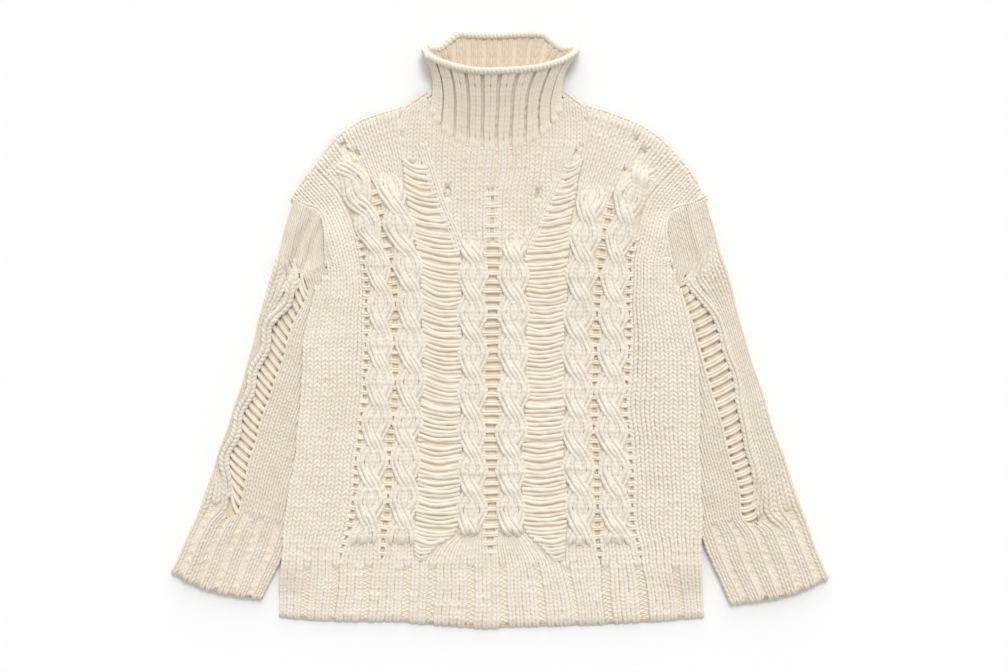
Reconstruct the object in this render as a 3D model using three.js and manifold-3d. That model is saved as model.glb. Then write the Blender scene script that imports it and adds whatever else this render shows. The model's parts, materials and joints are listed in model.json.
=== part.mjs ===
// Cable knit sweater lying flat: front over back, sleeves tucked under the sides, open ribbed collar.
// Millimetres, +Z up. x runs from the sweater's centre line, y up from the lowest point of the hem.
import * as THREE from 'three';
import Module from 'manifold-3d';

const wasm = await Module();
wasm.setup();

// Cloth
const WALL = 3;             // plain knitted wall
const GAP = 0.3;            // between pieces
const EDGE = 1.6;           // wall left at a rounded edge
const LAYER = WALL + GAP;
const LIFT = 2 * LAYER;     // the body's sides lie on two layers of sleeve
const CABLE = 3.2;          // mean height of a rope cable over the wall
const RIB = 2.2;            // height of a knit rib over its purl groove

// Heights up from the hem
const HEM_TOP = 76;         // hem rib up to here
const CABLES_FROM = 112;
const CENTRE_CABLES_TO = 462;
const ARM_PIT = 466;        // the sleeve goes under the body below this
const LIFT_TO_TOP = 508;
const LIFT_FROM = 36;
const LIFT_FULL = 78;
const YOKE_FROM = 439;
const YOKE_MID = 520;
const YOKE_TOP = 590;

const clamp = (t) => Math.min(1, Math.max(0, t));
const smooth = (a, b, t) => {
  const k = clamp((t - a) / (b - a));
  return k * k * (3 - 2 * k);
};
const mix = (a, b, t) => a + (b - a) * t;
const mixPoint = (a, b, t) => a.map((value, i) => mix(value, b[i], t));

// A smooth curve through rows of [at, values...].
function follow(rows, at) {
  let i = 0;
  while (i < rows.length - 2 && at > rows[i + 1][0]) i += 1;
  const [p, q] = [rows[i], rows[i + 1]];
  const [before, after] = [rows[Math.max(0, i - 1)], rows[Math.min(rows.length - 1, i + 2)]];
  const span = q[0] - p[0];
  const t = clamp((at - p[0]) / span);
  return p.slice(1).map((value, k) => {
    const slopeIn = (q[k + 1] - before[k + 1]) / (q[0] - before[0]);
    const slopeOut = (after[k + 1] - value) / (after[0] - p[0]);
    const [t2, t3] = [t * t, t * t * t];
    return (2 * t3 - 3 * t2 + 1) * value + (t3 - 2 * t2 + t) * span * slopeIn
      + (3 * t2 - 2 * t3) * q[k + 1] + (t3 - t2) * span * slopeOut;
  });
}

// Lines that run up the front: x at each height.
const LINES = ['left', 'aOut', 'ab', 'bIn', 'cOut', 'cdLeft', 'cdRight', 'dOut', 'eIn', 'ef', 'fOut', 'right'];
const BODY = [
  // y, left, aOut, ab, bIn, cOut, cdLeft, cdRight, dOut, eIn, ef, fOut, right
  [0, -259, -193, -144, -95, -93, -6, -4, 91, 93, 132, 187, 250],
  [46, -259, -188, -139, -93, -91, -6, -4, 85, 87, 127, 181, 250],
  [79, -257, -185, -136, -92, -88, -7, -3, 77, 81, 126, 176, 248],
  [100, -254, -182, -134, -92, -74, -8, -2, 58, 81, 125, 172, 248],
  [118, -253, -176, -133, -92, -49, -10, 1, 39, 83, 124, 167, 248],
  [166, -247, -169, -128, -91, -46, -11, 2, 36, 82, 122, 164, 247],
  [214, -239, -164, -126, -89, -44, -11, 2, 37, 79, 121, 162, 246],
  [274, -233, -158, -121, -85, -44, -11, 4, 40, 80, 119, 157, 245],
  [334, -231, -154, -120, -84, -44, -10, 4, 41, 80, 121, 160, 242],
  [394, -218, -155, -120, -85, -44, -10, 4, 41, 82, 124, 161, 226],
  [YOKE_FROM, -200, -156, -125, -89, -43, -10, 4, 38, 84, 126, 161, 208],
];
// The same lines as points of the yoke's middle and of the shoulder edge, and how far the hem's edge rises.
const YOKE = {
  //         middle          shoulder       hem
  aOut: [[-180, 510], [-218, 556], 9],
  ab: [[-149, 536], [-178, 600], 8],
  bIn: [[-106, 536], [-116, 625], 6],
  cOut: [[-76, 532], [-108, 627], 6],
  cdLeft: [[-9, 534], [-10, 648], 0],
  cdRight: [[4, 534], [8, 648], 0],
  dOut: [[78, 534], [108, 629], 4],
  eIn: [[96, 536], [116, 627], 4],
  ef: [[146, 532], [178, 602], 6],
  fOut: [[184, 514], [224, 562], 7],
};
// Armhole seams from the pit to the shoulder point: run, x, y.
const SEAM_LEFT = [
  [YOKE_FROM, -200, 439], [ARM_PIT, -200, 466], [495, -203, 488],
  [530, -212, 503], [560, -228, 509], [YOKE_TOP, -242, 518],
];
const SEAM_RIGHT = [
  [YOKE_FROM, 208, 439], [ARM_PIT, 203, 466], [495, 205, 489],
  [530, 214, 502], [560, 234, 508], [YOKE_TOP, 253, 518],
];
const HEM_CORNER = 13;

function linePoint(name, v) {
  const side = { left: SEAM_LEFT, right: SEAM_RIGHT }[name];
  if (side && v > YOKE_FROM) return follow(side, v);
  const x = follow(BODY, v)[LINES.indexOf(name)];
  const rise = side ? HEM_CORNER : YOKE[name][2];
  const low = [x, mix(rise, 0, clamp(v / 60)) + v];
  if (side || v <= YOKE_FROM) return low;
  const [middle, top] = YOKE[name];
  const below = linePoint(name, YOKE_FROM - 60);
  return follow([
    [YOKE_FROM - 60, ...below], [YOKE_FROM, ...linePoint(name, YOKE_FROM)], [YOKE_MID, ...middle],
    [YOKE_TOP, ...top],
  ], v);
}

// Sleeves from the shoulder to the cuff: run, outer edge, inner edge, ladder's sides as shares of the width.
const SLEEVE = {
  left: [
    // run, outer x, y, inner x, y, ladder out, ladder in
    [0, -237, 528, -172, 486, 0.60, 0.66],
    [60, -260, 454, -190, 408, 0.55, 0.64],
    [125, -280, 382, -183, 345, 0.21, 0.40],
    [190, -298, 316, -196, 280, 0.13, 0.35],
    [255, -316, 256, -213, 226, 0.12, 0.34],
    [320, -336, 196, -231, 168, 0.13, 0.35],
    [380, -359, 136, -250, 100, 0.38, 0.44],
    [452, -388, 68, -281, 35, 0.48, 0.52],
  ],
  right: [
    [0, 248, 528, 176, 486, 0.60, 0.66],
    [60, 268, 466, 192, 408, 0.62, 0.72],
    [125, 288, 394, 188, 340, 0.27, 0.50],
    [190, 308, 322, 205, 274, 0.22, 0.50],
    [255, 330, 256, 224, 202, 0.29, 0.50],
    [320, 352, 190, 237, 154, 0.34, 0.52],
    [380, 376, 124, 250, 106, 0.52, 0.60],
    [452, 400, 60, 283, 30, 0.50, 0.54],
  ],
};
const SLEEVE_LENGTH = 452;
const CUFF_FROM = 368;
const CUFF_SAG = 8;
const CUFF_RIBS = 5;
const RIDGE = 2.4;          // chain of stitches beside the sleeve's ladder
const LADDER_FROM = 104;
const LADDER_TO = 352;
const SLOT = 5;             // open height between two strands
const SLOT_PITCH = { left: 9.6, right: 11 };

// Inner edge of the sleeve under the body, by height.
const TUCK = {
  left: [[0, -262], [100, -250], [226, -213], [280, -196], [345, -183], [415, -186], [ARM_PIT, -199], [600, -200]],
  right: [[0, 260], [106, 250], [202, 224], [274, 205], [340, 188], [415, 189], [ARM_PIT, 202], [600, 203]],
};
const TUCK_CLEAR = 5;
const TUCK_TURN = 415;      // from here the sleeve's inner edge runs out to the arm pit

// Columns of the front from edge to edge: [line, next line, share of the way between, kind of relief].
const CABLES = {
  A: { from: 'aOut', to: 'ab', first: 131, pitch: 46.8 },
  B: { from: 'ab', to: 'bIn', first: 131, pitch: 46.8 },
  C: { from: 'cOut', to: 'cdLeft', first: 119, pitch: 47 },
  D: { from: 'cdRight', to: 'dOut', first: 119, pitch: 47 },
  E: { from: 'eIn', to: 'ef', first: 122, pitch: 46.5 },
  F: { from: 'ef', to: 'fOut', first: 122, pitch: 46.5 },
};
const cableColumns = (name) => [0.25, 0.5, 0.75].map((share) => ({ cable: name, share }));
const COLUMNS = [
  { line: 'left', edge: 0 }, { line: 'left', edge: 5 }, { line: 'left', tuck: 0.5 }, { line: 'left', tuck: 1 },
  { line: 'left', ramp: 0.5, groove: true }, { line: 'aOut', groove: true }, ...cableColumns('A'),
  { line: 'ab' }, ...cableColumns('B'), { line: 'bIn' }, { line: 'cOut' }, ...cableColumns('C'),
  { line: 'cdLeft' }, { line: 'cdRight' }, ...cableColumns('D'), { line: 'dOut' },
  { line: 'eIn', groove: true }, ...cableColumns('E'), { line: 'ef' }, ...cableColumns('F'),
  { line: 'fOut', groove: true }, { line: 'right', ramp: 0.5, groove: true }, { line: 'right', tuck: 1 },
  { line: 'right', tuck: 0.5 }, { line: 'right', edge: 5 }, { line: 'right', edge: 0 },
];
const HEM_GROOVES = { A: 0.75, B: 0.75, C: 0.25, D: 0.25, E: 0.75, F: 0.5 };

function columnPoint(column, v) {
  if (column.cable) {
    const { from, to } = CABLES[column.cable];
    return mixPoint(linePoint(from, v), linePoint(to, v), column.share);
  }
  const at = linePoint(column.line, v);
  if (column.edge === undefined && column.tuck === undefined && column.ramp === undefined) return at;
  const inward = column.line === 'left' ? 1 : -1;
  const first = linePoint(column.line === 'left' ? 'aOut' : 'fOut', v);
  const wide = Math.abs(first[0] - at[0]);
  const edge = mixPoint(at, first, 5 / wide);
  const under = follow(TUCK[column.line], at[1])[0] + inward * TUCK_CLEAR;
  const share = clamp(Math.max((under - at[0]) * inward, 12) / wide);
  const full = mixPoint(at, first, Math.min(share, 0.8));
  if (column.edge === 0) return at;
  if (column.edge) return edge;
  if (column.tuck) return mixPoint(edge, full, column.tuck);
  return mixPoint(full, first, column.ramp);
}

function liftOf(column, y) {
  const along = smooth(LIFT_FROM, LIFT_FULL, y) * (1 - smooth(ARM_PIT, LIFT_TO_TOP, y));
  const across = column.edge !== undefined || column.tuck ? 1 : column.ramp ? 0.4 : 0;
  return LIFT * along * across;
}

// Height of the knitting over the plain wall of the front.
function frontRelief(column, v, y) {
  const hem = 1 - smooth(HEM_TOP, CABLES_FROM, v);
  const groove = column.groove || HEM_GROOVES[column.cable] === column.share;
  let rope = 0;
  if (column.cable) {
    const { first, pitch } = CABLES[column.cable];
    const turn = 2 * Math.PI * (y - first) / pitch;
    const side = { 0.25: 1, 0.5: 0, 0.75: -1 }[column.share];
    rope = side === 0 ? CABLE + 1.8 * Math.cos(turn) : CABLE - 0.8 * Math.cos(turn) + side * Math.sin(turn);
    if ('CD'.includes(column.cable)) rope *= 1 - smooth(CENTRE_CABLES_TO, CENTRE_CABLES_TO + 30, v);
  }
  return mix(rope, groove ? 0 : RIB, hem);
}

const ROW = 11.75;
const steps = (from, to, by) => Array.from({ length: Math.round((to - from) / by) + 1 }, (_, i) => from + i * by);
const ROWS = [0, 4, 28, 54, LIFT_FULL, 94, 107, ...steps(119, 119 + 29 * ROW, ROW), ARM_PIT,
  ...steps(474, 582, 12), YOKE_TOP];

// A closed wall between two sheets of points on one grid. Middle columns may be filled flat on a sheet.
function wall({ top, bottom, flatTop, flatBottom }) {
  const rows = top.length;
  const columns = top[0].length;
  const positions = [...top.flat(), ...bottom.flat()].flat();
  const at = (layer, i, j) => layer * rows * columns + i * columns + j;
  const triangles = [];
  const quad = (a, b, c, d) => triangles.push(a, b, c, a, c, d);
  const sheet = (layer, flat) => {
    const face = layer === 0 ? quad : (a, b, c, d) => triangles.push(c, b, a, d, c, a);
    for (let i = 0; i < rows - 1; i += 1) {
      for (let j = 0; j < columns - 1; j += 1) {
        if (flat && j >= flat[0] && j < flat[1]) continue;
        face(at(layer, i, j), at(layer, i, j + 1), at(layer, i + 1, j + 1), at(layer, i + 1, j));
      }
    }
    if (!flat) return;
    const loop = [];
    for (let j = flat[0]; j < flat[1]; j += 1) loop.push(at(layer, 0, j));
    for (let i = 0; i < rows - 1; i += 1) loop.push(at(layer, i, flat[1]));
    for (let j = flat[1]; j > flat[0]; j -= 1) loop.push(at(layer, rows - 1, j));
    for (let i = rows - 1; i > 0; i -= 1) loop.push(at(layer, i, flat[0]));
    const outline = loop.map((k) => new THREE.Vector2(positions[3 * k], positions[3 * k + 1]));
    for (const [a, b, c] of THREE.ShapeUtils.triangulateShape(outline, [])) {
      if (layer === 0) triangles.push(loop[a], loop[b], loop[c]);
      else triangles.push(loop[c], loop[b], loop[a]);
    }
  };
  sheet(0, flatTop);
  sheet(1, flatBottom);
  for (let j = 0; j < columns - 1; j += 1) {
    quad(at(1, 0, j), at(1, 0, j + 1), at(0, 0, j + 1), at(0, 0, j));
    quad(at(0, rows - 1, j), at(0, rows - 1, j + 1), at(1, rows - 1, j + 1), at(1, rows - 1, j));
  }
  for (let i = 0; i < rows - 1; i += 1) {
    quad(at(1, i + 1, 0), at(1, i, 0), at(0, i, 0), at(0, i + 1, 0));
    quad(at(0, i + 1, columns - 1), at(0, i, columns - 1), at(1, i, columns - 1), at(1, i + 1, columns - 1));
  }
  return solid(positions, triangles);
}

const solid = (positions, triangles) => new wasm.Manifold(new wasm.Mesh({
  numProp: 3, vertProperties: new Float32Array(positions), triVerts: new Uint32Array(triangles),
}));

// An upright prism on a closed line of [x, y] points that runs anticlockwise.
function prism(outline, low = -20, high = 80) {
  const n = outline.length;
  const positions = [...outline.map(([x, y]) => [x, y, low]), ...outline.map(([x, y]) => [x, y, high])].flat();
  const faces = THREE.ShapeUtils.triangulateShape(outline.map(([x, y]) => new THREE.Vector2(x, y)), []);
  const triangles = faces.flatMap(([a, b, c]) => [c, b, a, a + n, b + n, c + n]);
  for (let i = 0; i < n; i += 1) {
    const next = (i + 1) % n;
    triangles.push(i, next, next + n, i, next + n, i + n);
  }
  return solid(positions, triangles);
}

const cut = (body, tools) => tools.reduce((rest, tool) => rest.subtract(tool), body);

// Collar
const NECK = { x: 1, y: 637, half: 78, front: 574, back: 623 };
const COLLAR = [
  // run, middle x, half width, side y, front y, back y, front z, back z, side z
  [0, 1, 78, 637, 574, 623, LAYER + WALL, WALL, LAYER],
  [18, 2, 75.5, 646, 596, 637, 10, WALL, 3.6],
  [38, 3, 75, 658, 618, 655, 17, WALL, 5],
  [60, 4, 79, 674, 641, 680, 27, WALL, 8],
  [86, 6, 88, 692, 662, 709, 38, WALL + 2, 13],
];
const COLLAR_RUN = 86;
const COLLAR_RIBS = 10;     // on each half of the collar
const RIB_EVEN = 0.75;      // 1 spaces the ribs evenly across the flat collar, 0 round it
const BACK_FROM = 0.15;     // the back's rim rises between these shares of the way in from its tips
const BACK_TO = 0.46;
const BEAD = 5.6;           // radius of the rolled edge
const COLLAR_RIB = 1.8;

// A rib's place round the collar: angle 0 to pi runs over the front, pi to 2 pi over the back.
function collarAngle(rib) {
  const half = Math.floor(rib / COLLAR_RIBS);
  const share = rib / COLLAR_RIBS - half;
  return Math.PI * half + mix(Math.PI * share, Math.acos(1 - 2 * share), RIB_EVEN);
}

// A point of the collar's wall at a rib's number.
function collarPoint(rib, run, outside) {
  const angle = collarAngle(rib);
  const [middle, half, sideY, frontY, backY, frontZ, backZ, sideZ] = follow(COLLAR, run);
  const sine = Math.sin(angle);
  const front = sine > 0;
  const reach = half + (outside ? WALL / 2 : -WALL / 2);
  const share = Math.abs(sine);
  const tip = smooth(BACK_FROM, BACK_TO, 1 - Math.abs(Math.cos(angle)));
  const rise = mix(share, tip, smooth(45, COLLAR_RUN, run));
  const ridge = COLLAR_RIB * (0.5 - 0.5 * Math.cos(2 * Math.PI * rib)) * Math.min(1, share * 3);
  const x = middle + reach * Math.cos(angle);
  if (front) {
    const target = outside ? frontZ + ridge * smooth(0, 14, run) : frontZ - WALL;
    return [x, mix(sideY, frontY, share), mix(sideZ, target, share ** 0.7)];
  }
  const z = outside ? mix(sideZ, 0, share ** 0.25) : mix(sideZ, backZ + ridge, share ** 0.5);
  return [x, mix(sideY, backY, rise), z];
}

function neckCut(frontSide) {
  const grow = WALL / 2 + 1.3 * GAP;
  const points = Array.from({ length: 45 }, (_, i) => {
    const angle = Math.PI + Math.PI * i / 44;
    const depth = NECK.y - (frontSide ? NECK.front : NECK.back) + GAP;
    return [NECK.x + (NECK.half + grow) * Math.cos(angle), NECK.y + depth * Math.sin(angle)];
  });
  return prism([...points, [NECK.x + NECK.half + grow, 700], [NECK.x - NECK.half - grow, 700]]);
}

function collar() {
  const around = 4 * COLLAR_RIBS;
  const runs = [0, 9, 20, 32, 44, 56, 71, COLLAR_RUN];
  const rings = [];
  const ring = (make) => rings.push(Array.from({ length: around }, (_, k) => make(k / 2)));
  runs.forEach((run) => ring((rib) => collarPoint(rib, run, true)));
  const unit = (v) => v.map((value) => value / Math.hypot(...v));
  const minus = (a, b) => a.map((value, k) => value - b[k]);
  for (const turn of [-20, 15, 55, 90, 125, 165, 200]) {
    ring((rib) => {
      const [out, inn] = [collarPoint(rib, COLLAR_RUN, true), collarPoint(rib, COLLAR_RUN, false)];
      const along = unit(minus(out, collarPoint(rib, COLLAR_RUN - 20, true)));
      const away = unit(minus(out, inn));
      const middle = mixPoint(out, inn, 0.5).map((value, k) => value + 3 * along[k] + 0.8 * away[k]);
      middle[2] = Math.max(middle[2], BEAD - 0.6);
      const [c, s] = [Math.cos(turn * Math.PI / 180), Math.sin(turn * Math.PI / 180)];
      const point = middle.map((value, k) => value + BEAD * (c * away[k] + s * along[k]));
      return [point[0], point[1], Math.max(0, point[2])];
    });
  }
  [...runs].reverse().forEach((run) => ring((rib) => collarPoint(rib, run, false)));
  const triangles = [];
  rings.forEach((_, i) => {
    const next = (i + 1) % rings.length;
    for (let k = 0; k < around; k += 1) {
      const [a, b] = [i * around + k, i * around + (k + 1) % around];
      const [c, d] = [next * around + (k + 1) % around, next * around + k];
      triangles.push(a, c, b, a, d, c);
    }
  });
  return solid(rings.flat(2), triangles);
}

// Yoke eyelets: centre x, y, width, height.
const EYELETS = [
  [-5, 519, 7, 12], [-56, 523, 7, 12], [48, 520, 6, 11], [-179, 577, 9, 14], [-165, 569, 7, 9],
  [174, 569, 9, 15], [167, 585, 6, 9], [154, 550, 6, 8], [-103, 552, 7, 6], [94, 573, 6, 6],
];
const eyelet = ([x, y, width, height]) => prism(Array.from({ length: 6 }, (_, k) => [
  x + width / 2 * Math.cos(k * Math.PI / 3 + Math.PI / 6), y + height / 2 * Math.sin(k * Math.PI / 3 + Math.PI / 6),
]));

// Holes of dropped stitches in the front: lines they lie between, first and last height, width and height.
const HOLES = [
  { from: 'cdLeft', to: 'cdRight', first: 95.5, last: 512, width: 10, height: 4.6 },
  { from: 'ab', to: 'ab', first: 93.5, last: 508, width: 5, height: 4.4 },
  { from: 'ef', to: 'ef', first: 93.5, last: 494, width: 5, height: 4.4 },
];
const HOLE_PITCH = 10.5;

function droppedStitches() {
  return HOLES.flatMap(({ from, to, first, last, width, height }) => {
    const count = Math.floor((last - first) / HOLE_PITCH) + 1;
    return Array.from({ length: count }, (_, k) => {
      const v = first + k * HOLE_PITCH;
      const [x, y] = mixPoint(linePoint(from, v), linePoint(to, v), 0.5);
      const [w, h] = [width / 2, height / 2];
      return prism([[x - w, y - h], [x + w, y - h], [x + w, y + h], [x - w, y + h]]);
    });
  });
}

function frontPanel() {
  const grid = (make) => ROWS.map((v, i) => COLUMNS.map((column, j) => make(column, v, i, j)));
  const base = (column, v) => {
    const [x, y] = columnPoint(column, v);
    return [x, y, LAYER + liftOf(column, y)];
  };
  const last = ROWS.length - 1;
  const end = COLUMNS.length - 1;
  const body = wall({
    top: grid((column, v, i, j) => {
      const [x, y, z] = base(column, v);
      const rim = i === 0 || i === last || j === 0 || j === end;
      return [x, y, z + (rim ? EDGE : WALL + frontRelief(column, v, y))];
    }),
    bottom: grid(base),
    flatBottom: [5, end - 5],
  });
  return cut(body, [neckCut(true), ...EYELETS.map(eyelet), ...droppedStitches()]);
}

function backPanel() {
  const grid = (z) => ROWS.map((v) => COLUMNS.map((column) => {
    const [x, y] = columnPoint(column, v);
    return [x, y, z + liftOf(column, y)];
  }));
  const end = COLUMNS.length - 1;
  const body = wall({ top: grid(WALL), bottom: grid(0), flatTop: [5, end - 5], flatBottom: [5, end - 5] });
  return cut(body, [neckCut(false)]);
}

// Sleeve
function sleevePoint(side, run, share) {
  const [outerX, outerY, innerX, innerY] = follow(SLEEVE[side], run);
  const sag = CUFF_SAG * Math.sin(Math.PI * share) * smooth(CUFF_FROM, SLEEVE_LENGTH, run);
  return [mix(outerX, innerX, share), mix(outerY, innerY, share) - sag];
}
const ladderShares = (side, run) => follow(SLEEVE[side], run).slice(4);

// Share of a sleeve's width at which it goes under the body's side.
function coveredFrom(side, run) {
  const inward = side === 'left' ? 1 : -1;
  for (let share = 0.3; share < 0.95; share += 0.01) {
    const [x, y] = sleevePoint(side, run, share);
    const bodyX = linePoint(side, Math.max(0, y))[0];
    if (y < ARM_PIT && y > LIFT_FROM && (x - bodyX) * inward > -11) return share;
  }
  return 0.95;
}

// The body's armhole as a cutter: the sleeve stops a gap short of the seam.
function armholeCut(side) {
  const out = side === 'left' ? -1 : 1;
  const seam = ROWS.filter((v) => v >= ARM_PIT).map((v) => linePoint(side, v));
  const moved = seam.map(([x, y], i) => {
    const [a, b] = [seam[Math.max(0, i - 1)], seam[Math.min(seam.length - 1, i + 1)]];
    const [dx, dy] = [b[0] - a[0], b[1] - a[1]];
    const long = Math.hypot(dx, dy);
    return [x + out * GAP * dy / long, y - out * GAP * dx / long];
  });
  const [pit, tip] = [moved[0], moved[moved.length - 1]];
  const turn = [follow(TUCK[side], TUCK_TURN)[0], TUCK_TURN];
  const outline = [[pit[0] - out * 60, TUCK_TURN], turn, ...moved, [tip[0] + out * 8, tip[1] + 4],
    [tip[0] + out * 8, 620], [pit[0] - out * 60, 620]];
  return prism(side === 'left' ? outline.reverse() : outline);
}

function slots(side) {
  const tools = [];
  for (let run = LADDER_FROM; run < LADDER_TO; run += SLOT_PITCH[side]) {
    const [out, inn] = ladderShares(side, run);
    const width = Math.hypot(...sleevePoint(side, run, 1).map((v, k) => v - sleevePoint(side, run, 0)[k]));
    const trim = 1.5 / width;
    if ((inn - out - 2 * trim) * width < 6) continue;
    const corner = (share, at) => sleevePoint(side, at, share);
    const [a, b] = [out + trim, inn - trim];
    const outline = [corner(a, run), corner(a, run + SLOT), corner(b, run + SLOT), corner(b, run)];
    tools.push(prism(side === 'left' ? outline : outline.reverse()));
  }
  return tools;
}

function sleeve(side, layer) {
  const front = layer === 1;
  const runs = front ? [...steps(0, 350, 17.5), CUFF_FROM, ...steps(380, 440, 20), 448, SLEEVE_LENGTH]
    : [...steps(0, 350, 35), CUFF_FROM, ...steps(390, 430, 20), SLEEVE_LENGTH];
  const shares = (run) => {
    const [out, inn] = ladderShares(side, run);
    const cuff = smooth(CUFF_FROM - 20, CUFF_FROM, run);
    const covered = coveredFrom(side, run);
    const plain = [0, 0.035, Math.max(0.06, out - 0.11), Math.max(0.08, out - 0.06), out - 0.005, (out + inn) / 2,
      inn, mix(inn, covered, 0.5), Math.max(covered, inn + 0.02), mix(covered, 1, 0.5), 1];
    const ribbed = [0, 0.035, ...Array.from({ length: 7 }, (_, k) => 0.13 + k * 0.12), 0.965, 1];
    return plain.map((share, k) => mix(share, ribbed[k], cuff));
  };
  const relief = (run, k) => {
    const cuff = smooth(CUFF_FROM - 10, CUFF_FROM + 6, run);
    const ladder = smooth(LADDER_FROM - 30, LADDER_FROM + 10, run);
    const plain = [0, 0.6, 1, RIDGE, 0, -0.6, 0, 0.5, 0, 0, 0][k] * ladder;
    const ribbed = k > 1 && k < 9 ? RIB * (k % 2) : 0;
    return mix(plain, ribbed, cuff);
  };
  const z0 = layer * LAYER;
  const row = (run, height) => (front ? shares(run) : [0, 0.25, 0.5, 0.75, 1]).map((share, k, all) => {
    const rim = k === 0 || k === all.length - 1 || run === SLEEVE_LENGTH;
    const thick = !front ? WALL : rim ? EDGE : WALL + relief(run, k);
    return [...sleevePoint(side, run, share), z0 + height * thick];
  });
  const flip = (rows) => (side === 'left' ? rows.map((points) => points) : rows.map((points) => [...points].reverse()));
  const order = (height) => flip(runs.map((run) => row(run, height))).reverse();
  const body = wall({ top: order(1), bottom: order(0) });
  return cut(body, [armholeCut(side), ...(front ? slots(side) : [])]);
}

const NODES = {
  back: [backPanel(), 0xe9dfcc],
  front: [frontPanel(), 0xf1e8d8],
  sleeve_left_back: [sleeve('left', 0), 0xe9dfcc],
  sleeve_left_front: [sleeve('left', 1), 0xf1e8d8],
  sleeve_right_back: [sleeve('right', 0), 0xe9dfcc],
  sleeve_right_front: [sleeve('right', 1), 0xf1e8d8],
  collar: [collar(), 0xf3ebdc],
};

// The origin is under the middle of the whole.
const boxes = Object.values(NODES).map(([body]) => body.boundingBox());
const centre = [0, 1].map((k) => (Math.min(...boxes.map((box) => box.min[k]))
  + Math.max(...boxes.map((box) => box.max[k]))) / 2);

const group = new THREE.Group();
group.name = 'sweater';
for (const [name, [body, color]] of Object.entries(NODES)) {
  const { vertProperties, triVerts } = body.translate([-centre[0], -centre[1], 0]).getMesh();
  const geometry = new THREE.BufferGeometry();
  geometry.setAttribute('position', new THREE.BufferAttribute(new Float32Array(vertProperties), 3));
  geometry.setIndex(new THREE.BufferAttribute(new Uint32Array(triVerts), 1));
  const mesh = new THREE.Mesh(geometry, new THREE.MeshStandardMaterial({ color, roughness: 0.95 }));
  mesh.name = name;
  group.add(mesh);
}

export default group;
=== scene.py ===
"""Cable knit sweater laid flat: knitted stitches, ropes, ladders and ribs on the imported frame."""

import json
import math

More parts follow.
